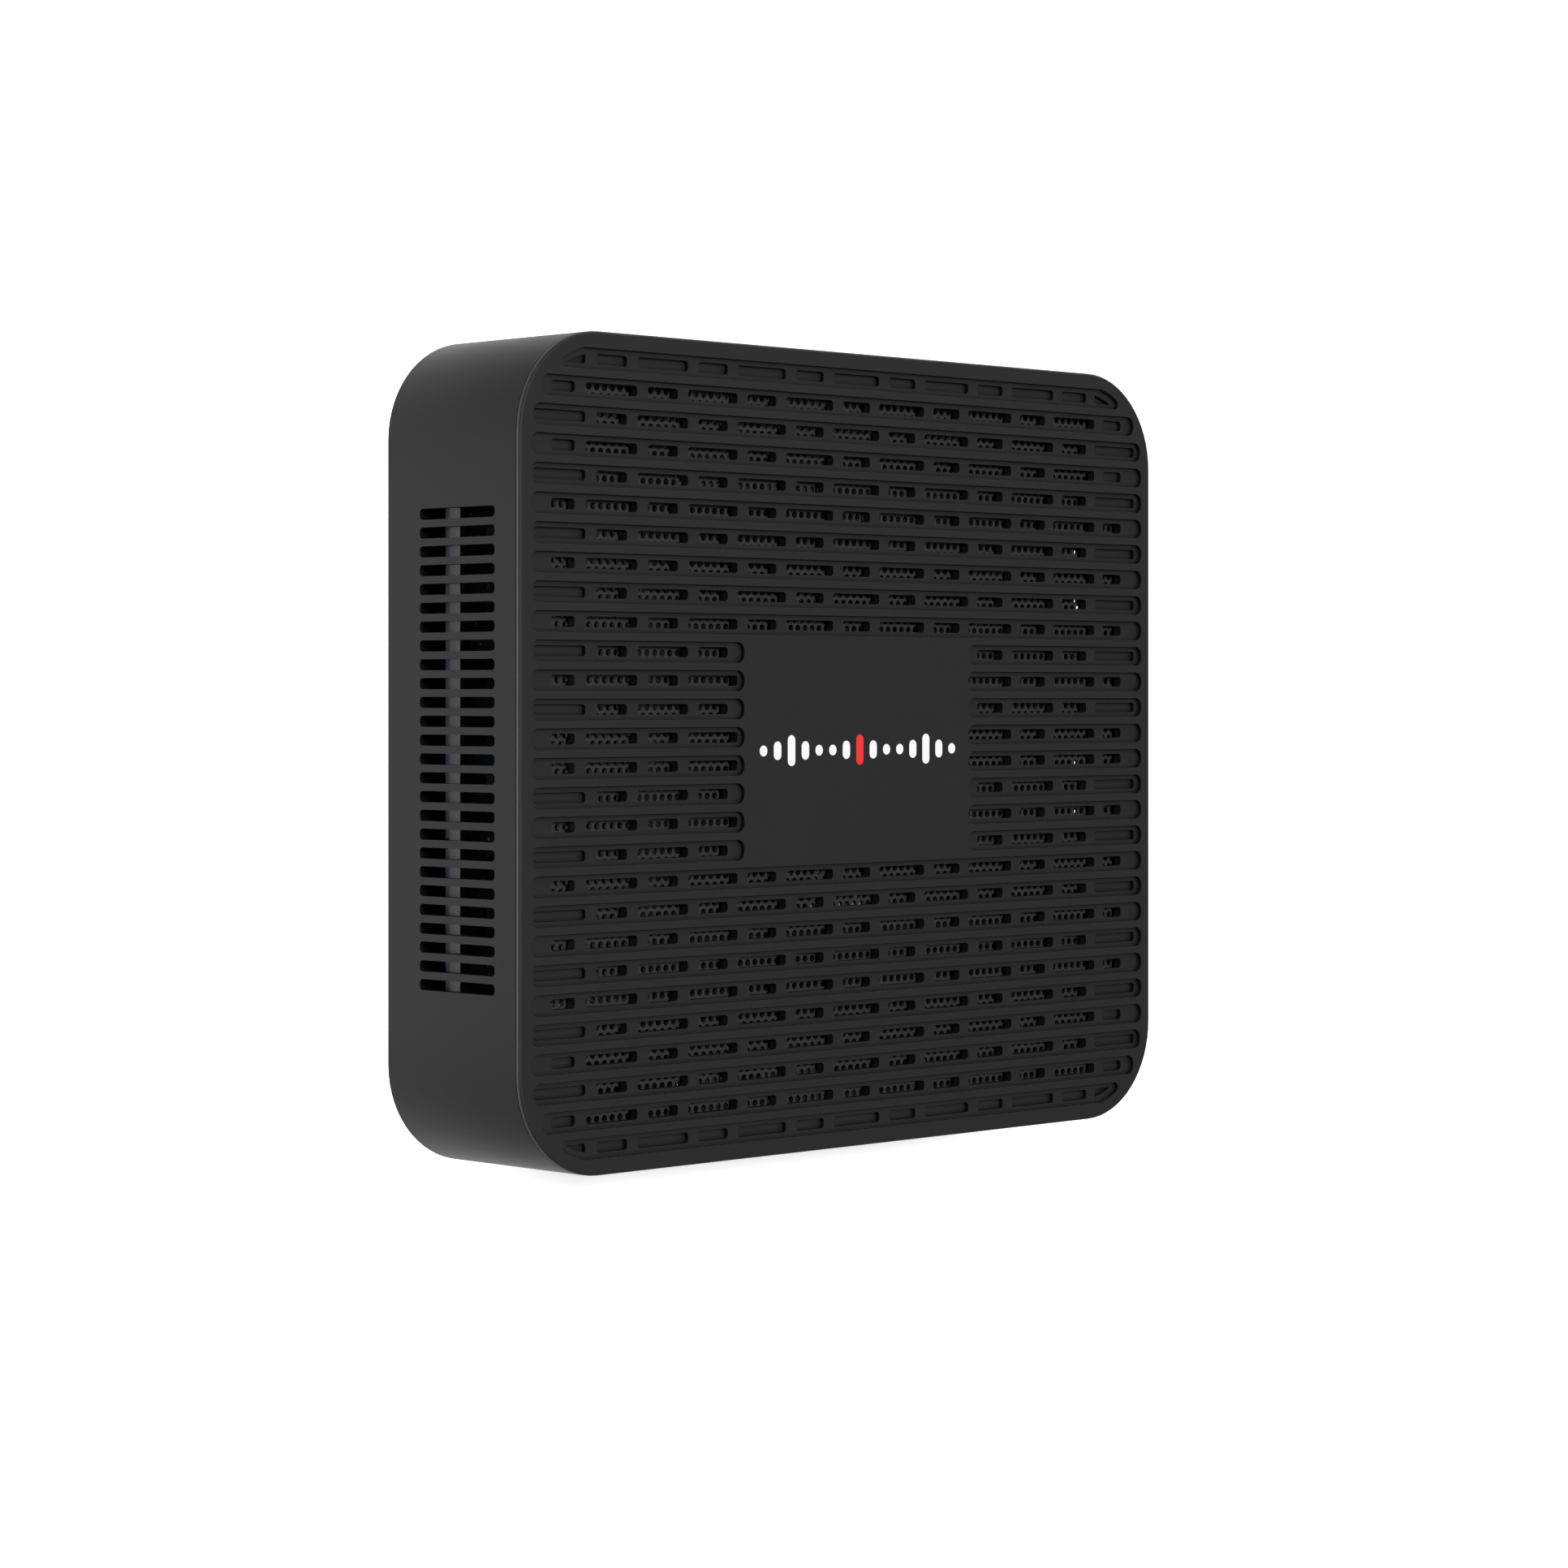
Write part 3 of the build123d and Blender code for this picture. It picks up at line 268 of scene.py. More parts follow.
def painted_sheet(name, colour):
    """Thin powder coat on steel: soft orange peel and a dusting of paler specks."""
    rough = 0.5
    paint = Paint(name)
    peel = paint.noise(0.35 * MM, detail=2.0)
    speck = (paint.noise(0.09 * MM, detail=1.0) - 0.6).clamped() * 2.0
    base = paint.blend(speck.clamped(), colour, shade(colour, 1.5))
    normal = paint.bump(peel, 0.01 * MM, 0.8, 0.03 * MM)
    return paint.finish(Base_Color=base, Roughness=rough + peel * 0.12, Normal=normal)


def circuit_board(name, mask_colour, track_colour, edge=None):
    """Solder mask over copper: runs of tracks, flooded areas, plated holes and coloured edges."""
    pad = (0.72, 0.56, 0.24)
    paint = Paint(name)
    runs = paint.cells(0.9 * MM, "DISTANCE_TO_EDGE", stretch=(1, 0.18, 0.05))
    cross = paint.cells(0.9 * MM, "DISTANCE_TO_EDGE", stretch=(0.18, 1, 0.05))
    field = paint.cells(9 * MM, "F1", stretch=(1, 1, 0.05), out="Color")
    split = paint.add("ShaderNodeSeparateColor", {}, {0: field})
    which = split > 0.5
    track = (runs < 0.09) * which + (cross < 0.09) * (1 - which)
    flood = paint.noise(7 * MM, detail=1.0, stretch=(1, 1, 0.05)) > 0.56
    copper = (track + flood * 0.7).clamped()
    vias = paint.cells(2.1 * MM, "F1", stretch=(1, 1, 0.001)) < 0.11
    base = paint.blend(copper, mask_colour, track_colour)
    base = paint.blend(vias, base, pad)
    if edge:
        rim = Vector((0.05, 0.05, -1)) * MM
        base = paint.blend(paint.inside(BOARD_LOW + rim, BOARD_HIGH - rim), edge, base)
    normal = paint.bump(copper, 0.035 * MM, 0.7, 0.05 * MM)
    return paint.finish(
        Base_Color=base, Metallic=vias * 0.9, Roughness=0.34 - vias * 0.05, Normal=normal
    )


def epoxy(name, colour, rough):
    """Moulded chip body: matt, very fine pores, a slight bloom."""
    paint = Paint(name)
    pores = paint.noise(0.08 * MM, detail=3.0, rough=0.7)
    bloom = paint.noise(3 * MM, detail=2.0)
    base = paint.blend(bloom, shade(colour, 0.8), shade(colour, 1.4))
    normal = paint.bump(pores, 0.006 * MM, 1.0, 0.06 * MM)
    return paint.finish(Base_Color=base, Roughness=rough + pores * 0.12, Normal=normal)


def soft_rubber(name, colour=(0.02, 0.02, 0.02)):
    """Matt rubber with a dusty bloom and a coarse skin."""
    paint = Paint(name)
    skin = paint.noise(0.3 * MM, detail=4.0, rough=0.6)
    dust = paint.noise(4 * MM, detail=3.0)
    base = paint.blend(dust, colour, shade(colour, 1.9))
    normal = paint.bump(skin, 0.03 * MM, 1.0, 0.1 * MM)
    return paint.finish(Base_Color=base, Roughness=0.82 + skin * 0.1, Normal=normal)


def windings(name):
    """Enamelled wire laid in close turns."""
    colour, turns_per_metre = (0.62, 0.25, 0.1), 900.0
    paint = Paint(name)
    settings = {"wave_type": "RINGS", "rings_direction": "Z", "wave_profile": "SIN"}
    sockets = {"Vector": paint.place(), "Scale": turns_per_metre, "Distortion": 0.4}
    turns = paint.add("ShaderNodeTexWave", settings, sockets, out="Fac")
    base = paint.blend(turns, shade(colour, 0.45), colour)
    normal = paint.bump(turns, 0.08 * MM)
    return paint.finish(Base_Color=base, Metallic=0.75, Roughness=0.3 + turns * 0.1, Normal=normal)


def ferrite(name):
    """Pressed powder core: sandy, slightly sparkling."""
    colour = (0.1, 0.1, 0.105)
    paint = Paint(name)
    sand = paint.noise(0.14 * MM, detail=4.0, rough=0.7)
    base = paint.blend(sand, shade(colour, 0.6), shade(colour, 1.6))
    normal = paint.bump(sand, 0.03 * MM, 1.0, 0.12 * MM)
    return paint.finish(Base_Color=base, Metallic=0.25, Roughness=0.6 + sand * 0.15, Normal=normal)


def clear_moulding(name):
    """Clear plastic with faint flow marks."""
    colour = (0.9, 0.93, 0.95)
    paint = Paint(name)
    flow = paint.noise(1.2 * MM, detail=2.0)
    base = paint.blend(flow, shade(colour, 0.92), colour)
    return paint.finish(Base_Color=base, Roughness=0.12 + flow * 0.1, Transmission_Weight=0.85)


def port_metal(name, zones):
    """A plated shell whose plastic core, gilt contacts and lamps are picked out by boxes."""
    colour, core = (0.62, 0.62, 0.63), (0.013, 0.013, 0.014)
    gilt, lamp = (0.85, 0.58, 0.24), (0.55, 0.62, 0.42)
    paint = Paint(name)
    stain = paint.noise(1.6 * MM, detail=4.0)
    fine = paint.noise(0.1 * MM, detail=2.0, stretch=(1, 0.1, 1))
    base = paint.blend(stain, shade(colour, 0.8), colour)
    metal = None
    gloss = 0.24 + fine * 0.16
    for kind, low, high in zones:
        mask = paint.inside(low, high)
        if kind == "core":
            base = paint.blend(mask, base, core)
            metal = 1 - mask if metal is None else metal * (1 - mask)
            gloss = gloss + mask * 0.2
        elif kind == "gilt":
            base = paint.blend(mask, base, gilt)
            metal = mask if metal is None else (metal + mask).clamped()
            gloss = gloss - mask * 0.2
        elif kind == "lamp":
            base = paint.blend(mask, base, lamp)
            metal = 1 - mask if metal is None else metal * (1 - mask)
    normal = paint.bump(fine, 0.004 * MM, 1.0, 0.06 * MM)
    metal = 1.0 if metal is None else metal
    return paint.finish(Base_Color=base, Metallic=metal, Roughness=gloss.clamped(), Normal=normal)


def printed(name, colour):
    """Screen-printed ink: even, matt, with a faint weave of the screen."""
    paint = Paint(name)
    weave = paint.noise(0.1 * MM, detail=1.0)
    base = paint.blend(weave, shade(colour, 0.94), colour)
    normal = paint.bump(weave, 0.003 * MM)
    return paint.finish(Base_Color=base, Roughness=0.5 + weave * 0.1, Normal=normal)


# ---------------------------------------------------------------- mesh building
def new_piece(name, mesh_builder, material):
    """Makes one piece from a bmesh builder and sets it riding on the case."""
    mesh = bpy.data.meshes.new(name)
    shape = bmesh.new()
    mesh_builder(shape)
    bmesh.ops.recalc_face_normals(shape, faces=shape.faces)
    shape.to_mesh(mesh)
    shape.free()
    return place_piece(name, mesh, material)


def place_piece(name, mesh, material):
    """Links a flat-shaded mesh as a piece that rides on the case."""
    piece = bpy.data.objects.new(name, mesh)
    bpy.context.scene.collection.objects.link(piece)
    mesh.materials.append(material)
    for polygon in mesh.polygons:
        polygon.use_smooth = False
    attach(piece, CASE)
    return piece


def add_block(shape, low, high, ease):
    """A block between two corners with bevelled edges."""
    made = bmesh.ops.create_cube(shape, size=1.0)["verts"]
    size = Vector(high) - Vector(low)
    middle = (Vector(high) + Vector(low)) / 2
    for vert in made:
        vert.co = Vector(c * s for c, s in zip(vert.co, size)) + middle
    edges = list({edge for vert in made for edge in vert.link_edges})
    bmesh.ops.bevel(shape, geom=edges, offset=ease, segments=1, profile=0.5, affect="EDGES")


def round_outline(half_x, half_y, radius, steps):
    """The points of a rectangle with rounded corners."""
    points = []
    for turn, (sx, sy) in enumerate(((1, 1), (-1, 1), (-1, -1), (1, -1))):
        for step in range(steps + 1):
            angle = math.pi / 2 * (turn + step / steps)
            x = sx * (half_x - radius) + radius * math.cos(angle)
            points.append((x, sy * (half_y - radius) + radius * math.sin(angle)))
    return points


def add_prism(shape, outline, low, high):
    """A flat outline raised between two heights."""
    lower, upper = ([shape.verts.new((*point, z)) for point in outline] for z in (low, high))
    count = len(outline)
    for i in range(count):
        j = (i + 1) % count
        shape.faces.new((lower[i], lower[j], upper[j], upper[i]))
    shape.faces.new(lower[::-1])
    shape.faces.new(upper)


# ---------------------------------------------------------------- sizes and colours
class CaseLooks(bpy.types.PropertyGroup):
    """Finish of the moulded case."""

    lid_colour: FloatVectorProperty(
        name="Lid colour",
        description="Colour of the slotted lid's plastic",
        subtype="COLOR",
        default=(0.0115, 0.0115, 0.0118),
    )
    wall_colour: FloatVectorProperty(
        name="Wall colour",
        description="Colour of the side frame's plastic",
        subtype="COLOR",
        default=(0.005, 0.005, 0.0052),
    )
    lid_rough: FloatProperty(
        name="Lid roughness",
        description="How matt the lid is",
        subtype="FACTOR",
        default=0.55,
        min=0.1,
        max=1.0,
    )
    wall_rough: FloatProperty(
        name="Wall roughness",
        description="How matt the side frame is",
        subtype="FACTOR",
        default=0.42,
        min=0.1,
        max=1.0,
    )


class SheetLooks(bpy.types.PropertyGroup):
    """Fine perforated sheet under the lid."""

    pitch: FloatProperty(
        name="Pitch",
        description="Distance between neighbouring holes",
        subtype="DISTANCE",
        unit="LENGTH",
        default=1.51 * MM,
        precision=5,
    )
    hole: FloatProperty(
        name="Hole",
        description="Diameter of each hole",
        subtype="DISTANCE",
        unit="LENGTH",
        default=1.04 * MM,
        precision=5,
    )
    margin: FloatProperty(
        name="Margin",
        description="Plain border round the holes",
        subtype="DISTANCE",
        unit="LENGTH",
        default=2.8 * MM,
        precision=5,
    )
    corner: FloatProperty(
        name="Corner",
        description="Corner radius of the sheet",
        subtype="DISTANCE",
        unit="LENGTH",
        default=13.85 * MM,
        precision=5,
    )
    colour: FloatVectorProperty(
        name="Colour",
        description="Colour of the sheet's coating",
        subtype="COLOR",
        default=(0.016, 0.016, 0.0165),
    )


class MarkLooks(bpy.types.PropertyGroup):
    """Plain printed bars in the middle of the lid."""

    width: FloatProperty(
        name="Width",
        description="Length of the row of bars",
        subtype="DISTANCE",
        unit="LENGTH",
        default=41 * MM,
        precision=5,
    )
    height: FloatProperty(
        name="Height",
        description="Height of the tallest bar",
        subtype="DISTANCE",
        unit="LENGTH",
        default=4.6 * MM,
        precision=5,
    )
    count: IntProperty(name="Bars", description="How many bars there are", default=15, min=3)
    ink: FloatProperty(
        name="Ink",
        description="Thickness of the printed ink",
        subtype="DISTANCE",
        unit="LENGTH",
        default=0.02 * MM,
        precision=6,
    )
    colour: FloatVectorProperty(
        name="Ink colour",
        description="Colour of the bars",
        subtype="COLOR",
        default=(0.86, 0.86, 0.86),
    )
    accent: FloatVectorProperty(
        name="Accent colour",
        description="Colour of the one bar that stands out",
        subtype="COLOR",
        default=(0.75, 0.02, 0.02),
    )


class StageLooks(bpy.types.PropertyGroup):
    """Floor, lights and camera."""

    floor_colour: FloatVectorProperty(
        name="Floor colour",
        description="Colour of the floor",
        subtype="COLOR",
        default=(0.9, 0.9, 0.9),
    )
    table_glow: FloatProperty(
        name="Table glow",
        description="Light that the whole floor gives off",
        default=0.5,
        min=0.0,
    )
    patch_glow: FloatProperty(
        name="Patch glow",
        description="Light from the floor beside the left wall",
        default=2.9,
        min=0.01,
    )
    key_power: FloatProperty(
        name="Key power",
        description="Power of the main light high over the lid",
        default=66.0,
        min=0.0,
    )
    rear_power: FloatProperty(
        name="Rear power",
        description="Power of the low light behind the rear ports",
        default=12.0,
        min=0.0,
    )
    sky_strength: FloatProperty(
        name="Sky strength",
        description="Strength of the even surrounding light",
        default=0.25,
        min=0.0,
    )


# ---------------------------------------------------------------- operators
class DESKTOP_OT_stage(bpy.types.Operator):
    """Makes the floor, the lights and the camera"""

    bl_idname = "desktop.stage"
    bl_label = "Stage"

    def execute(self, context):
        looks = context.scene.desktop_stage
        self.make_floor(looks)
        self.make_lights(looks)
        self.make_camera(context.scene)
        context.scene.view_settings.view_transform = "Standard"
        return {"FINISHED"}

    @staticmethod
    def make_floor(looks):
        reach = 6.0
        mesh = bpy.data.meshes.new("floor")
        corners = [(-reach, -reach, 0), (reach, -reach, 0), (reach, reach, 0), (-reach, reach, 0)]
        mesh.from_pydata(corners, [], [(0, 1, 2, 3)])
        paint = Paint("floor_paper")
        cloud = paint.noise(0.4, detail=2.0)
        colour = tuple(looks.floor_colour)
        base = paint.blend(cloud, shade(colour, 0.985), colour)
        table = shade((1, 1, 1), looks.table_glow / looks.patch_glow)
        glow = paint.blend(DESKTOP_OT_stage.patch(paint), table, (1, 1, 1))
        mesh.materials.append(
            paint.finish(
                Base_Color=base,
                Roughness=0.85 + cloud * 0.05,
                Emission_Color=glow,
                Emission_Strength=looks.patch_glow,
            )
        )
        floor = bpy.data.objects.new("floor", mesh)
        bpy.context.scene.collection.objects.link(floor)

    @staticmethod
    def patch(paint):
        """1 on the floor beside the left wall, easing to 0 round it."""
        edge_x, fall_x = 0.066, 25
        edge_y, fall_y = 0.038, 22
        spot = paint.place()
        split = paint.tree.nodes.new("ShaderNodeSeparateXYZ")
        paint.tree.links.new(spot.socket, split.inputs[0])
        across = Wire(paint, split.outputs[0])
        along = Wire(paint, split.outputs[1]).maths("ABSOLUTE")
        beside = (1 - (across + edge_x) * fall_x).clamped()
        length = (1 - (along - edge_y) * fall_y).clamped()
        return beside * length

    @staticmethod
    def make_lights(looks):
        middle = Vector((0, 0, 0.02))
        lights = (
            ("key_light", (-0.4, 0.5, 2.7), (0.6, 0.6), looks.key_power),
            ("rear_light", (1.3, 1.5, 0.5), (0.8, 0.5), looks.rear_power),
        )
        for name, spot, size, power in lights:
            data = bpy.data.lights.new(name, "AREA")
            data.shape = "RECTANGLE"
            data.size, data.size_y = size
            data.energy = power
            lamp = bpy.data.objects.new(name, data)
            lamp.location = spot
            lamp.rotation_mode = "QUATERNION"
            lamp.rotation_quaternion = (middle - Vector(spot)).to_track_quat("-Z", "Y")
            bpy.context.scene.collection.objects.link(lamp)
        world = bpy.data.worlds.new("sky")
        world.use_nodes = True
        background = world.node_tree.nodes["Background"]
        background.inputs["Color"].default_value = (1, 1, 1, 1)
        background.inputs["Strength"].default_value = looks.sky_strength
        bpy.context.scene.world = world

    @staticmethod
    def make_camera(scene):
        data = bpy.data.cameras.new("camera")
        data.sensor_width = 36.0
        data.lens = 91.32
        data.shift_y = -0.058
        data.clip_start, data.clip_end = 0.05, 20.0
        camera = bpy.data.objects.new("camera", data)
        back, aside, above = 0.4337, 0.00857, 0.4185
        camera.location = Vector((-back, aside, LID_HIGH.z + above))
        camera.rotation_mode = "QUATERNION"
        look = Vector((0.70625, 0.0, -0.70797))
        side = Vector((0.70797, 0.0, 0.70625))
        upward = side.cross(look)
        rows = [(side[i], upward[i], -look[i]) for i in range(3)]
        camera.rotation_quaternion = Matrix(rows).to_quaternion()
        scene.collection.objects.link(camera)
        scene.camera = camera


def coat(material, *nodes):
    """Gives CAD nodes a finish."""
    for name in nodes:
        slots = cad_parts[name].data.materials
        slots.clear()
        slots.append(material)


class DESKTOP_OT_case(bpy.types.Operator):
    """Gives the lid, side frame, base and port plates their moulded plastic"""

    bl_idname = "desktop.case"
    bl_label = "Case"

    def execute(self, context):
        looks = context.scene.desktop_case
        lid = tuple(looks.lid_colour)
        wall = tuple(looks.wall_colour)
        # The lid gets painted shade that darkens the colour in its slots and pockets.
        lid_plastic = moulded("lid_plastic", lid, looks.lid_rough, gleam=0.25, crevice_shade_reach=0.7 * MM)
        coat(lid_plastic, "grille_cover")
        coat(moulded("wall_plastic", wall, looks.wall_rough, gleam=0.06), "side_frame")
        coat(moulded("base_plastic", shade(wall, 0.9), 0.6, grain=0.25 * MM), "bottom_cover")
        coat(moulded("plate_plastic", shade(wall, 0.8), 0.4), "front_plate", "rear_plate")
        coat(soft_rubber("foot_rubber"), "feet")
        return {"FINISHED"}


class DESKTOP_OT_sheet(bpy.types.Operator):
    """Makes the fine perforated sheet under the lid in three strips"""

    bl_idname = "desktop.sheet"
    bl_label = "Perforated Sheet"
    hole_sides = 12

    def execute(self, context):
        self.looks = context.scene.desktop_sheet
        self.half_x = (SHEET_HIGH.x - SHEET_LOW.x) / 2
        self.half_y = (SHEET_HIGH.y - SHEET_LOW.y) / 2
        self.line = self.looks.pitch * math.sqrt(3) / 2
        self.points, self.numbers = [], {}
        cells = self.find_cells()
        faces = self.cell_faces(cells)
        faces += self.border_faces(cells, faces)
        finish = painted_sheet("sheet_coat", tuple(self.looks.colour))
        third = self.half_y * 2 / 3
        bands = (
            ("fine_sheet_front", -1.0, -third / 2),
            ("fine_sheet_middle", -third / 2, third / 2),
            ("fine_sheet_rear", third / 2, 1.0),
        )
        for name, low, high in bands:
            chosen = [f for f in faces if low <= self.middle_y(f) < high]
            if not chosen:
                raise RuntimeError(f"no faces for {name}")
            piece = place_piece(name, self.solid(name, chosen), finish)
            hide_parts("mesh_sheet")
        return {"FINISHED"}

    def number(self, point):
        key = (round(point[0] * 1e7), round(point[1] * 1e7))
        if key not in self.numbers:
            self.numbers[key] = len(self.points)
            self.points.append(point)
        return self.numbers[key]

    def middle_y(self, face):
        return sum(self.points[i][1] for i in face) / len(face)

    def within(self, x, y, inset):
        """Is the point inside the sheet's outline moved in by that much?"""
        radius = max(self.looks.corner - inset, 0.0)
        over_x = abs(x) - (self.half_x - inset - radius)
        over_y = abs(y) - (self.half_y - inset - radius)
        return math.hypot(max(over_x, 0.0), max(over_y, 0.0)) < radius

    def find_cells(self):
        pitch = self.looks.pitch
        columns = int(self.half_x / pitch) + 1
        lines = int(self.half_y / self.line) + 1
        kept = {}
        for j in range(-lines, lines + 1):
            for i in range(-columns, columns + 1):
                x, y = (i + (j % 2) / 2) * pitch, j * self.line
                if self.within(x, y, self.looks.margin):
                    kept[(i, j)] = (x, y)
        return kept

    def cell_faces(self, cells):
        """Six five-sided faces round each hole, which leave the hole open."""
        outer = self.looks.pitch / math.sqrt(3)
        inner = self.looks.hole / 2
        sides = self.hole_sides
        hexagon = [math.radians(30 + 60 * k) for k in range(7)]
        circle = [math.radians(30 + 360 / sides * k) for k in range(sides + 1)]
        step = sides // 6
        faces = []
        for x, y in cells.values():
            rim = [
                self.number((x + inner * math.cos(a), y + inner * math.sin(a))) for a in circle
            ]
            ends = [
                self.number((x + outer * math.cos(a), y + outer * math.sin(a))) for a in hexagon
            ]
            for k in range(6):
                arc = rim[k * step : (k + 1) * step + 1]
                faces.append((ends[k], ends[k + 1], *arc[::-1]))
        return faces

    def border_faces(self, cells, faces):
        """Triangles between the outermost holes' cells and the sheet's outline."""
        count = {}
        for face in faces:
            edge = tuple(sorted(face[:2]))
            count[edge] = count.get(edge, 0) + 1
        rim = [edge for edge, times in count.items() if times == 1]
        outline = round_outline(self.half_x, self.half_y, self.looks.corner, steps=16)
        flat = [Vector(self.points[i]) * 1000 for edge in rim for i in edge]
        edges = [(2 * k, 2 * k + 1) for k in range(len(rim))]
        start = len(flat)
        flat += [Vector(point) * 1000 for point in outline]
        size = len(outline)
        edges += [(start + k, start + (k + 1) % size) for k in range(size)]
        verts, _, triangles, *_ = delaunay_2d_cdt(flat, edges, [], 0, 1e-5)
        made = []
        pitch = self.looks.pitch
        for triangle in triangles:
            points = [verts[i] / 1000 for i in triangle]
            x = sum(p.x for p in points) / 3
            y = sum(p.y for p in points) / 3
            if not self.within(x, y, 0.0) or self.nearest(x, y, pitch) in cells:
                continue
            made.append(tuple(self.number((p.x, p.y)) for p in points))
        return made

    def nearest(self, x, y, pitch):
        best = None
        middle = round(y / self.line)
        for j in (middle - 1, middle, middle + 1):
            i = round(x / pitch - (j % 2) / 2)
            gap = math.hypot((i + (j % 2) / 2) * pitch - x, j * self.line - y)
            if best is None or gap < best[0]:
                best = (gap, (i, j))
        return best[1]

    def solid(self, name, faces):
        """Thickens flat faces into a closed sheet."""
        used = sorted({i for face in faces for i in face})
        place = {old: new for new, old in enumerate(used)}
        count = len(used)
        low, high = SHEET_LOW.z, SHEET_HIGH.z
        verts = [(*self.points[i], high) for i in used] + [(*self.points[i], low) for i in used]
        result, rims = [], {}
        for face in faces:
            top = [place[i] for i in face]
            area = sum(
                self.points[a][0] * self.points[b][1] - self.points[b][0] * self.points[a][1]
                for a, b in zip(face, face[1:] + face[:1])
            )
            if area < 0:
                top = top[::-1]
            result.append(tuple(top))
            result.append(tuple(i + count for i in reversed(top)))
            for a, b in zip(top, top[1:] + top[:1]):
                if (b, a) in rims:
                    del rims[(b, a)]
                else:
                    rims[(a, b)] = True
        result += [(b, a, a + count, b + count) for a, b in rims]
        mesh = bpy.data.meshes.new(name)
        mesh.from_pydata(verts, [], result)
        mesh.update()
        return mesh


class DESKTOP_OT_mark(bpy.types.Operator):
    """Prints a plain row of bars on the lid's middle"""

    bl_idname = "desktop.mark"
    bl_label = "Printed Bars"
    heights = (0.35, 0.6, 1.0, 0.6, 0.35)

    def execute(self, context):
        looks = context.scene.desktop_mark
        pale = printed("pale_ink", tuple(looks.colour))
        accent = printed("accent_ink", tuple(looks.accent))
        spots = []
        step = looks.width / (looks.count - 1)
        for index in range(looks.count):
            share = self.heights[index % len(self.heights)]
            spots.append((-looks.width / 2 + index * step, share * looks.height / 2))
        top = LID_HIGH.z
        middle = looks.count // 2

        def bars(shape, chosen):
            for index, (x, half) in enumerate(spots):
                if (index == middle) != chosen:
                    continue
                half_wide = min(step * 0.27, half)
                outline = round_outline(half_wide, half, half_wide * 0.98, 6)
                outline = [(x + px, py) for px, py in outline]
                add_prism(shape, outline, top - 0.05 * MM, top + looks.ink)

        new_piece("lid_bars", lambda shape: bars(shape, False), pale)
        new_piece("lid_accent", lambda shape: bars(shape, True), accent)
        return {"FINISHED"}


class DESKTOP_OT_board(bpy.types.Operator):
    """Finishes the main board and sets small parts on it"""

    bl_idname = "desktop.board"
    bl_label = "Main Board"

    def execute(self, context):
        mask, track, edge = (0.001, 0.007, 0.014), (0.002, 0.012, 0.022), (0.003, 0.012, 0.06)
        coat(circuit_board("board_mask", mask, track, edge), "main_board")
        rail_coat = painted_sheet("rail_coat", (0.062, 0.062, 0.062))
        coat(rail_coat, "side_rail_left", "side_rail_right")
        coat(epoxy("chip_epoxy", (0.008, 0.008, 0.009), 0.6), "board_chips")
        coat(moulded("guide_plastic", (0.008, 0.008, 0.008), 0.7, gleam=0.2), "air_guide")
        coat(ferrite("coil_ferrite"), "power_coils")
        coat(brushed("can_metal", (0.7, 0.7, 0.72), 0.3, (1, 1, 0.05)), "capacitors")
        self.small_parts()
        return {"FINISHED"}

    @staticmethod
    def small_parts():
        """Resistors and capacitors strewn in rows on the free strips of the board."""
        chance = random.Random(11)
        top = BOARD_HIGH.z
        taken = [
            piece
            for name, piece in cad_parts.items()
            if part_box(name)[0].z < top + 3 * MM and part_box(name)[1].z > top + 0.1 * MM
            and name not in ("main_board", "side_frame", "bottom_cover")
        ]
        strips = (
            ((-63.5, -52), (-36, 36)),
            ((52, 63.5), (-36, 36)),
            ((-48, -36), (-36, 33)),
            ((36, 51), (-38, -12)),
            ((-44, 44), (-44, -35)),
            ((2, 48), (34, 46)),
        )
        sizes = ((1.0, 0.5, 0.5), (1.6, 0.8, 0.8), (2.0, 1.25, 0.9))
        share_left_out, least_gap, most_gap = 0.35, 0.9, 2.6
        parts = []
        for (x0, x1), (y0, y1) in strips:
            x = x0 * MM
            while x < x1 * MM:
                y = y0 * MM
                while y < y1 * MM:
                    long, wide, tall = (s * MM for s in chance.choice(sizes))
                    y += long + chance.uniform(least_gap, most_gap) * MM
                    if chance.random() < share_left_out:
                        continue
                    spot = Vector((x, y, top + tall / 2))
                    clear = long / 2 + 0.4 * MM
                    if any(DESKTOP_OT_board.gap(piece, spot) < clear for piece in taken):
                        continue
                    parts.append((spot, wide, long, tall))
                x += chance.choice((2.3, 2.9)) * MM

        def body_blocks(shape):
            for spot, wide, long, tall in parts:
                half = Vector((wide / 2, long * 0.3, tall / 2))
                add_block(shape, spot - half, spot + half, 0.05 * MM)

        def end_blocks(shape):
            plating, above_board = 0.02 * MM, 0.001 * MM
            for spot, wide, long, tall in parts:
                for side in (-1, 1):
                    middle = spot + Vector((0, side * long * 0.39, 0))
                    half = Vector((wide / 2 + plating, long * 0.11, tall / 2 + plating))
                    low = middle - half
                    low.z = top + above_board
                    add_block(shape, low, middle + half, 0.06 * MM)

        ceramic = epoxy("ceramic_body", (0.02, 0.016, 0.012), 0.5)
        tin = brushed("tin_ends", (0.12, 0.12, 0.12), 0.45)
        new_piece("small_part_bodies", body_blocks, ceramic)
        new_piece("small_part_ends", end_blocks, tin)

    @staticmethod
    def gap(piece, spot):
        found, near, _, _ = piece.closest_point_on_mesh(spot)
        return (near - spot).length if found else 1.0


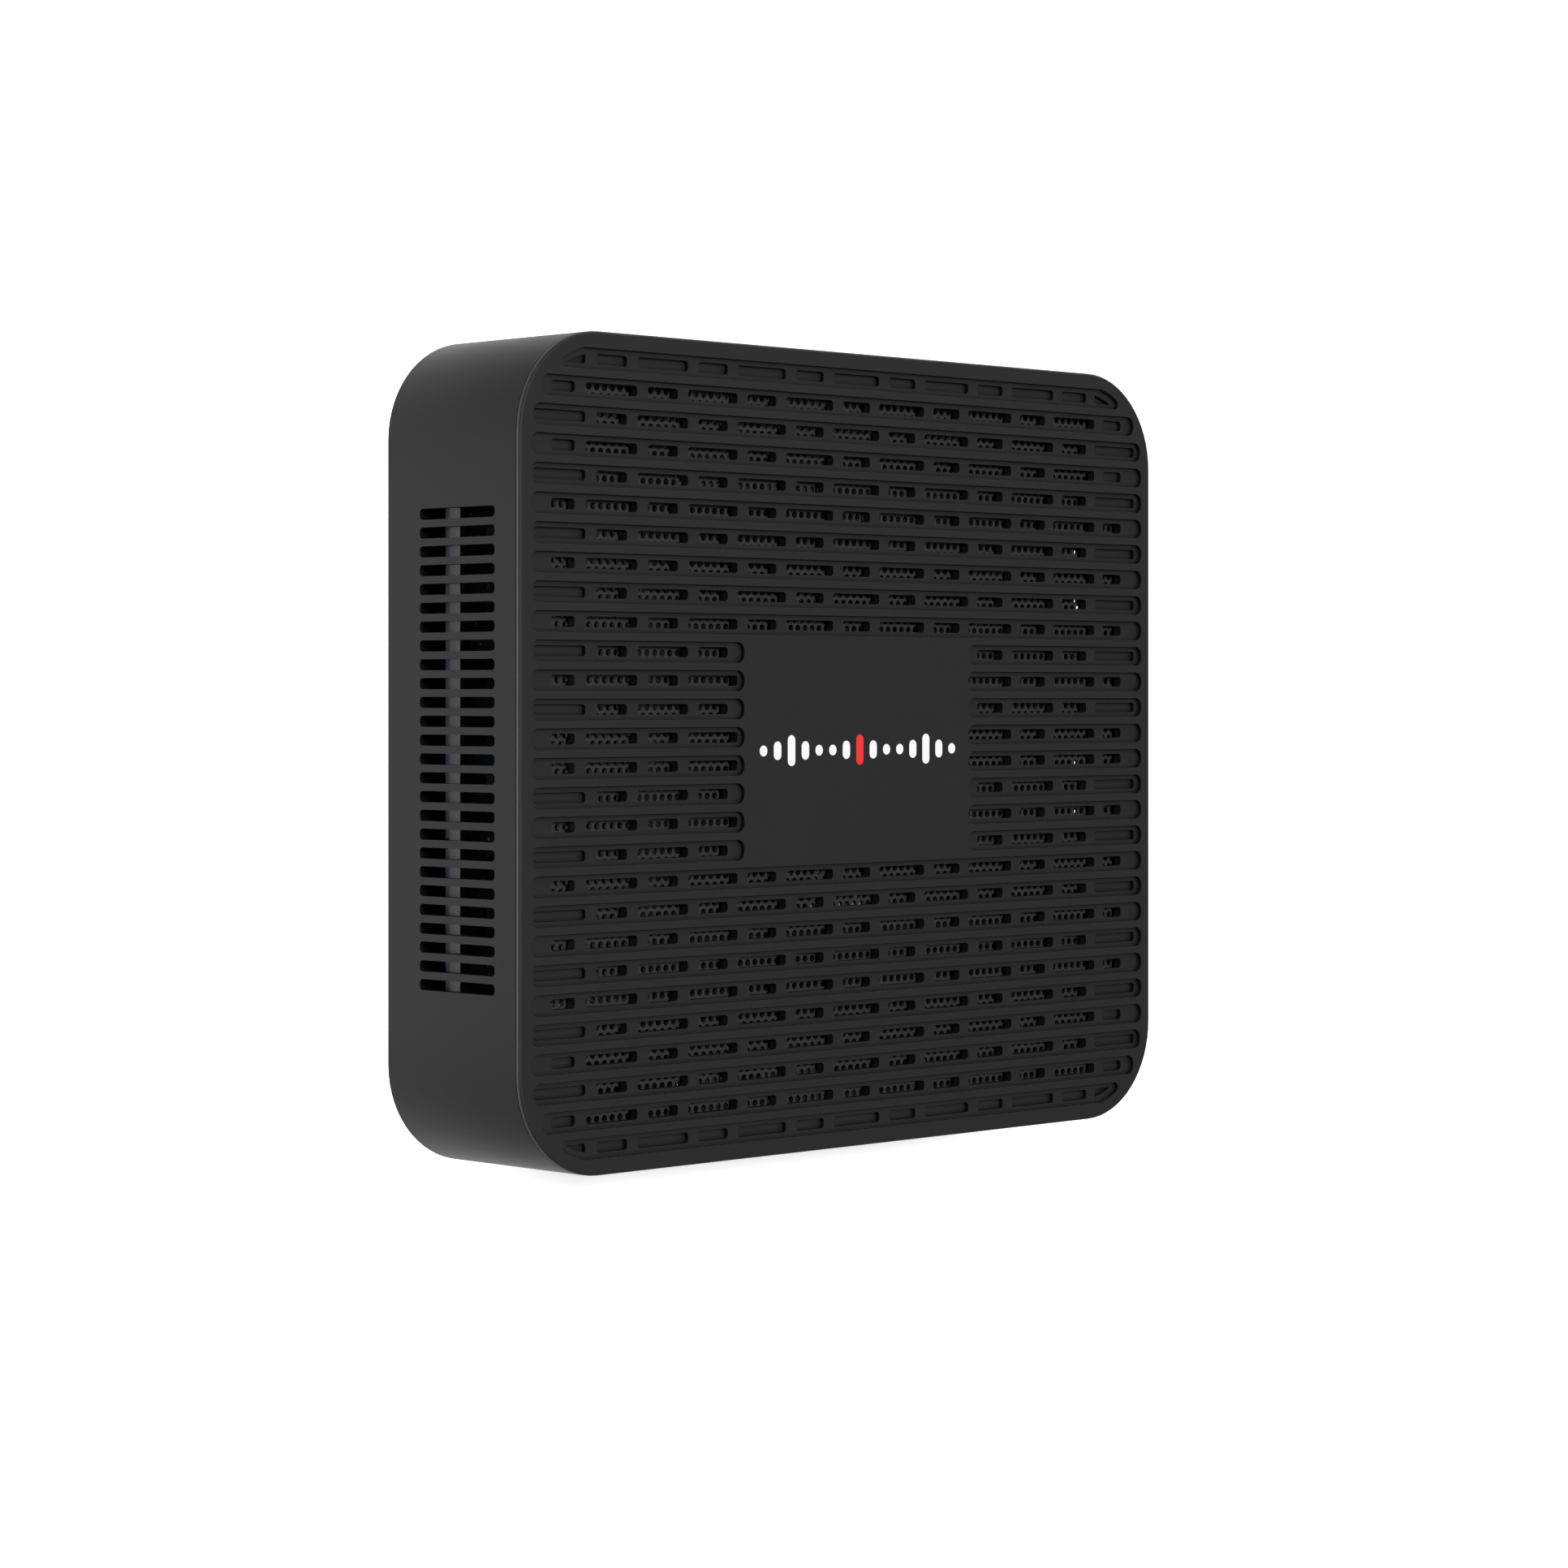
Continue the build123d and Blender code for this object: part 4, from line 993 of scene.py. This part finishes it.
class DESKTOP_OT_ports(bpy.types.Operator):
    """Finishes the ports: plated shells, plastic cores and gilt contacts"""

    bl_idname = "desktop.ports"
    bl_label = "Ports"

    def execute(self, context):
        for name in ("data_port_front_left", "data_port_front_right", "data_port_rear"):
            self.flat_port(name, 0.7, 0.3)
        self.flat_port("oval_data_port", 0.5, 0.3)
        for name in ("video_port_left", "video_port_right"):
            self.flat_port(name, 0.6, 0.35)
        for name in ("lan_port_left", "lan_port_right"):
            self.lan_port(name)
        coat(moulded("jack_plastic", (0.014, 0.014, 0.015), 0.4), "audio_jack", "dc_jack")
        return {"FINISHED"}

    @staticmethod
    def flat_port(name, lift, skin):
        """The core is all that lies inside the shell's skin."""
        low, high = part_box(name)
        skin_room = (skin + 0.02) * MM
        inner_low = Vector((low.x + skin_room, low.y - MM, low.z + lift * MM + skin_room))
        inner_high = Vector((high.x - skin_room, high.y + MM, high.z - skin_room))
        coat(port_metal(name + "_metal", [("core", inner_low, inner_high)]), name)

    @staticmethod
    def lan_port(name):
        low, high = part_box(name)
        middle = (low.x + high.x) / 2
        core_low = Vector((middle - 6.2 * MM, low.y + 0.5 * MM, low.z + 1.6 * MM))
        core_high = Vector((middle + 6.2 * MM, high.y - 0.45 * MM, low.z + 11.9 * MM))
        wire_low = Vector((middle - 4.2 * MM, high.y - 15 * MM, low.z + 9.1 * MM))
        wire_high = Vector((middle + 4.2 * MM, high.y - 3 * MM, low.z + 11.48 * MM))
        zones = [("core", core_low, core_high), ("gilt", wire_low, wire_high)]
        for side in (-1, 1):
            lamp = middle + side * 5.6 * MM
            lamp_low = Vector((lamp - 1.51 * MM, high.y - 0.4 * MM, low.z + 0.99 * MM))
            lamp_high = Vector((lamp + 1.51 * MM, high.y + MM, low.z + 2.81 * MM))
            zones.append(("lamp", lamp_low, lamp_high))
        coat(port_metal(name + "_metal", zones), name)


class DESKTOP_OT_controls(bpy.types.Operator):
    """Finishes the button, switches and lamp"""

    bl_idname = "desktop.controls"
    bl_label = "Button and Lamp"

    def execute(self, context):
        coat(moulded("button_plastic", (0.03, 0.03, 0.032), 0.28), "power_button")
        coat(moulded("plunger_plastic", (0.3, 0.3, 0.3), 0.5), "power_plunger", "reset_plunger")
        coat(moulded("switch_plastic", (0.02, 0.02, 0.02), 0.5), "power_switch", "reset_switch")
        coat(clear_moulding("pipe_plastic"), "status_pipe")
        coat(moulded("lamp_body", (0.7, 0.7, 0.64), 0.4), "status_lamp")
        return {"FINISHED"}


class DESKTOP_OT_cooling(bpy.types.Operator):
    """Finishes the processor, heat sink and fan"""

    bl_idname = "desktop.cooling"
    bl_label = "Cooling"

    def execute(self, context):
        coat(epoxy("carrier_epoxy", (0.01, 0.04, 0.03), 0.4), "processor")
        coat(soft_rubber("pad_silicone", (0.3, 0.31, 0.33)), "thermal_pad")
        coat(brushed("sink_metal", (0.68, 0.69, 0.7), 0.38, (1, 0.04, 1)), "heat_sink")
        coat(brushed("post_brass", (0.7, 0.5, 0.24), 0.3, (1, 1, 0.1)), "sink_posts")
        fan = moulded("fan_plastic", (0.012, 0.012, 0.013), 0.38, depth=0.006 * MM)
        coat(fan, "fan_frame", "fan_rotor")
        coat(windings("motor_wire"), "fan_motor")
        coat(moulded("header_nylon", (0.7, 0.68, 0.6), 0.5), "fan_header")
        return {"FINISHED"}


class DESKTOP_OT_cards(bpy.types.Operator):
    """Finishes the memory, storage and radio cards, their sockets and the clock cell"""

    bl_idname = "desktop.cards"
    bl_label = "Cards"

    def execute(self, context):
        card = circuit_board("card_mask", (0.006, 0.05, 0.026), (0.012, 0.09, 0.045))
        coat(card, "memory_module", "storage_card", "radio_card")
        socket = moulded("socket_plastic", (0.016, 0.016, 0.017), 0.45)
        coat(socket, "memory_socket", "storage_socket", "radio_socket", "cell_holder")
        coat(brushed("arm_metal", (0.68, 0.68, 0.68), 0.25, (1, 0.1, 1)), "memory_arms")
        coat(brushed("cell_metal", (0.72, 0.72, 0.71), 0.22, (0.1, 1, 1)), "coin_cell")
        return {"FINISHED"}


class DESKTOP_OT_fixings(bpy.types.Operator):
    """Finishes the screws, posts and inserts"""

    bl_idname = "desktop.fixings"
    bl_label = "Fixings"

    def execute(self, context):
        coat(brushed("black_zinc", (0.06, 0.06, 0.062), 0.35), "case_screws")
        zinc = brushed("bright_zinc", (0.64, 0.65, 0.66), 0.28)
        coat(zinc, "board_screws", "sink_screws", "fan_screws", "card_screws")
        brass = brushed("turned_brass", (0.74, 0.54, 0.26), 0.28, (1, 1, 0.1))
        coat(brass, "bracket_inserts", "card_posts")
        return {"FINISHED"}


class DESKTOP_OT_leads(bpy.types.Operator):
    """Finishes the fan lead, the aerials and their leads"""

    bl_idname = "desktop.leads"
    bl_label = "Leads"

    def execute(self, context):
        sleeve = moulded("lead_sleeve", (0.015, 0.015, 0.015), 0.5, grain=0.3 * MM)
        coat(sleeve, "fan_lead", "aerial_lead_front", "aerial_lead_rear")
        film = circuit_board("aerial_film", (0.012, 0.012, 0.013), (0.03, 0.026, 0.02))
        coat(film, "aerial_front", "aerial_rear")
        return {"FINISHED"}


OPERATORS = (
    DESKTOP_OT_stage,
    DESKTOP_OT_case,
    DESKTOP_OT_sheet,
    DESKTOP_OT_mark,
    DESKTOP_OT_board,
    DESKTOP_OT_ports,
    DESKTOP_OT_controls,
    DESKTOP_OT_cooling,
    DESKTOP_OT_cards,
    DESKTOP_OT_fixings,
    DESKTOP_OT_leads,
)


class DESKTOP_PT_panel(bpy.types.Panel):
    """Sidebar panel that lists the pieces and their sizes"""

    bl_idname = "DESKTOP_PT_panel"
    bl_label = "Desktop Computer"
    bl_space_type = "VIEW_3D"
    bl_region_type = "UI"
    bl_category = "Computer"

    def draw(self, context):
        for operator in OPERATORS:
            self.layout.operator(operator.bl_idname)
        for _, attribute in GROUPS:
            group = getattr(context.scene, attribute)
            box = self.layout.box()
            for key in group.bl_rna.properties.keys():
                if key not in ("rna_type", "name"):
                    box.prop(group, key)


GROUPS = (
    (CaseLooks, "desktop_case"),
    (SheetLooks, "desktop_sheet"),
    (MarkLooks, "desktop_mark"),
    (StageLooks, "desktop_stage"),
)


def register():
    for group, attribute in GROUPS:
        bpy.utils.register_class(group)
        setattr(bpy.types.Scene, attribute, PointerProperty(type=group))
    for operator in OPERATORS:
        bpy.utils.register_class(operator)
    bpy.utils.register_class(DESKTOP_PT_panel)


def unregister():
    bpy.utils.unregister_class(DESKTOP_PT_panel)
    for operator in reversed(OPERATORS):
        bpy.utils.unregister_class(operator)
    for group, attribute in reversed(GROUPS):
        delattr(bpy.types.Scene, attribute)
        bpy.utils.unregister_class(group)


def main():
    register()
    for operator in OPERATORS:
        family, action = operator.bl_idname.split(".")
        getattr(getattr(bpy.ops, family), action)()


if __name__ == "__main__":
    main()
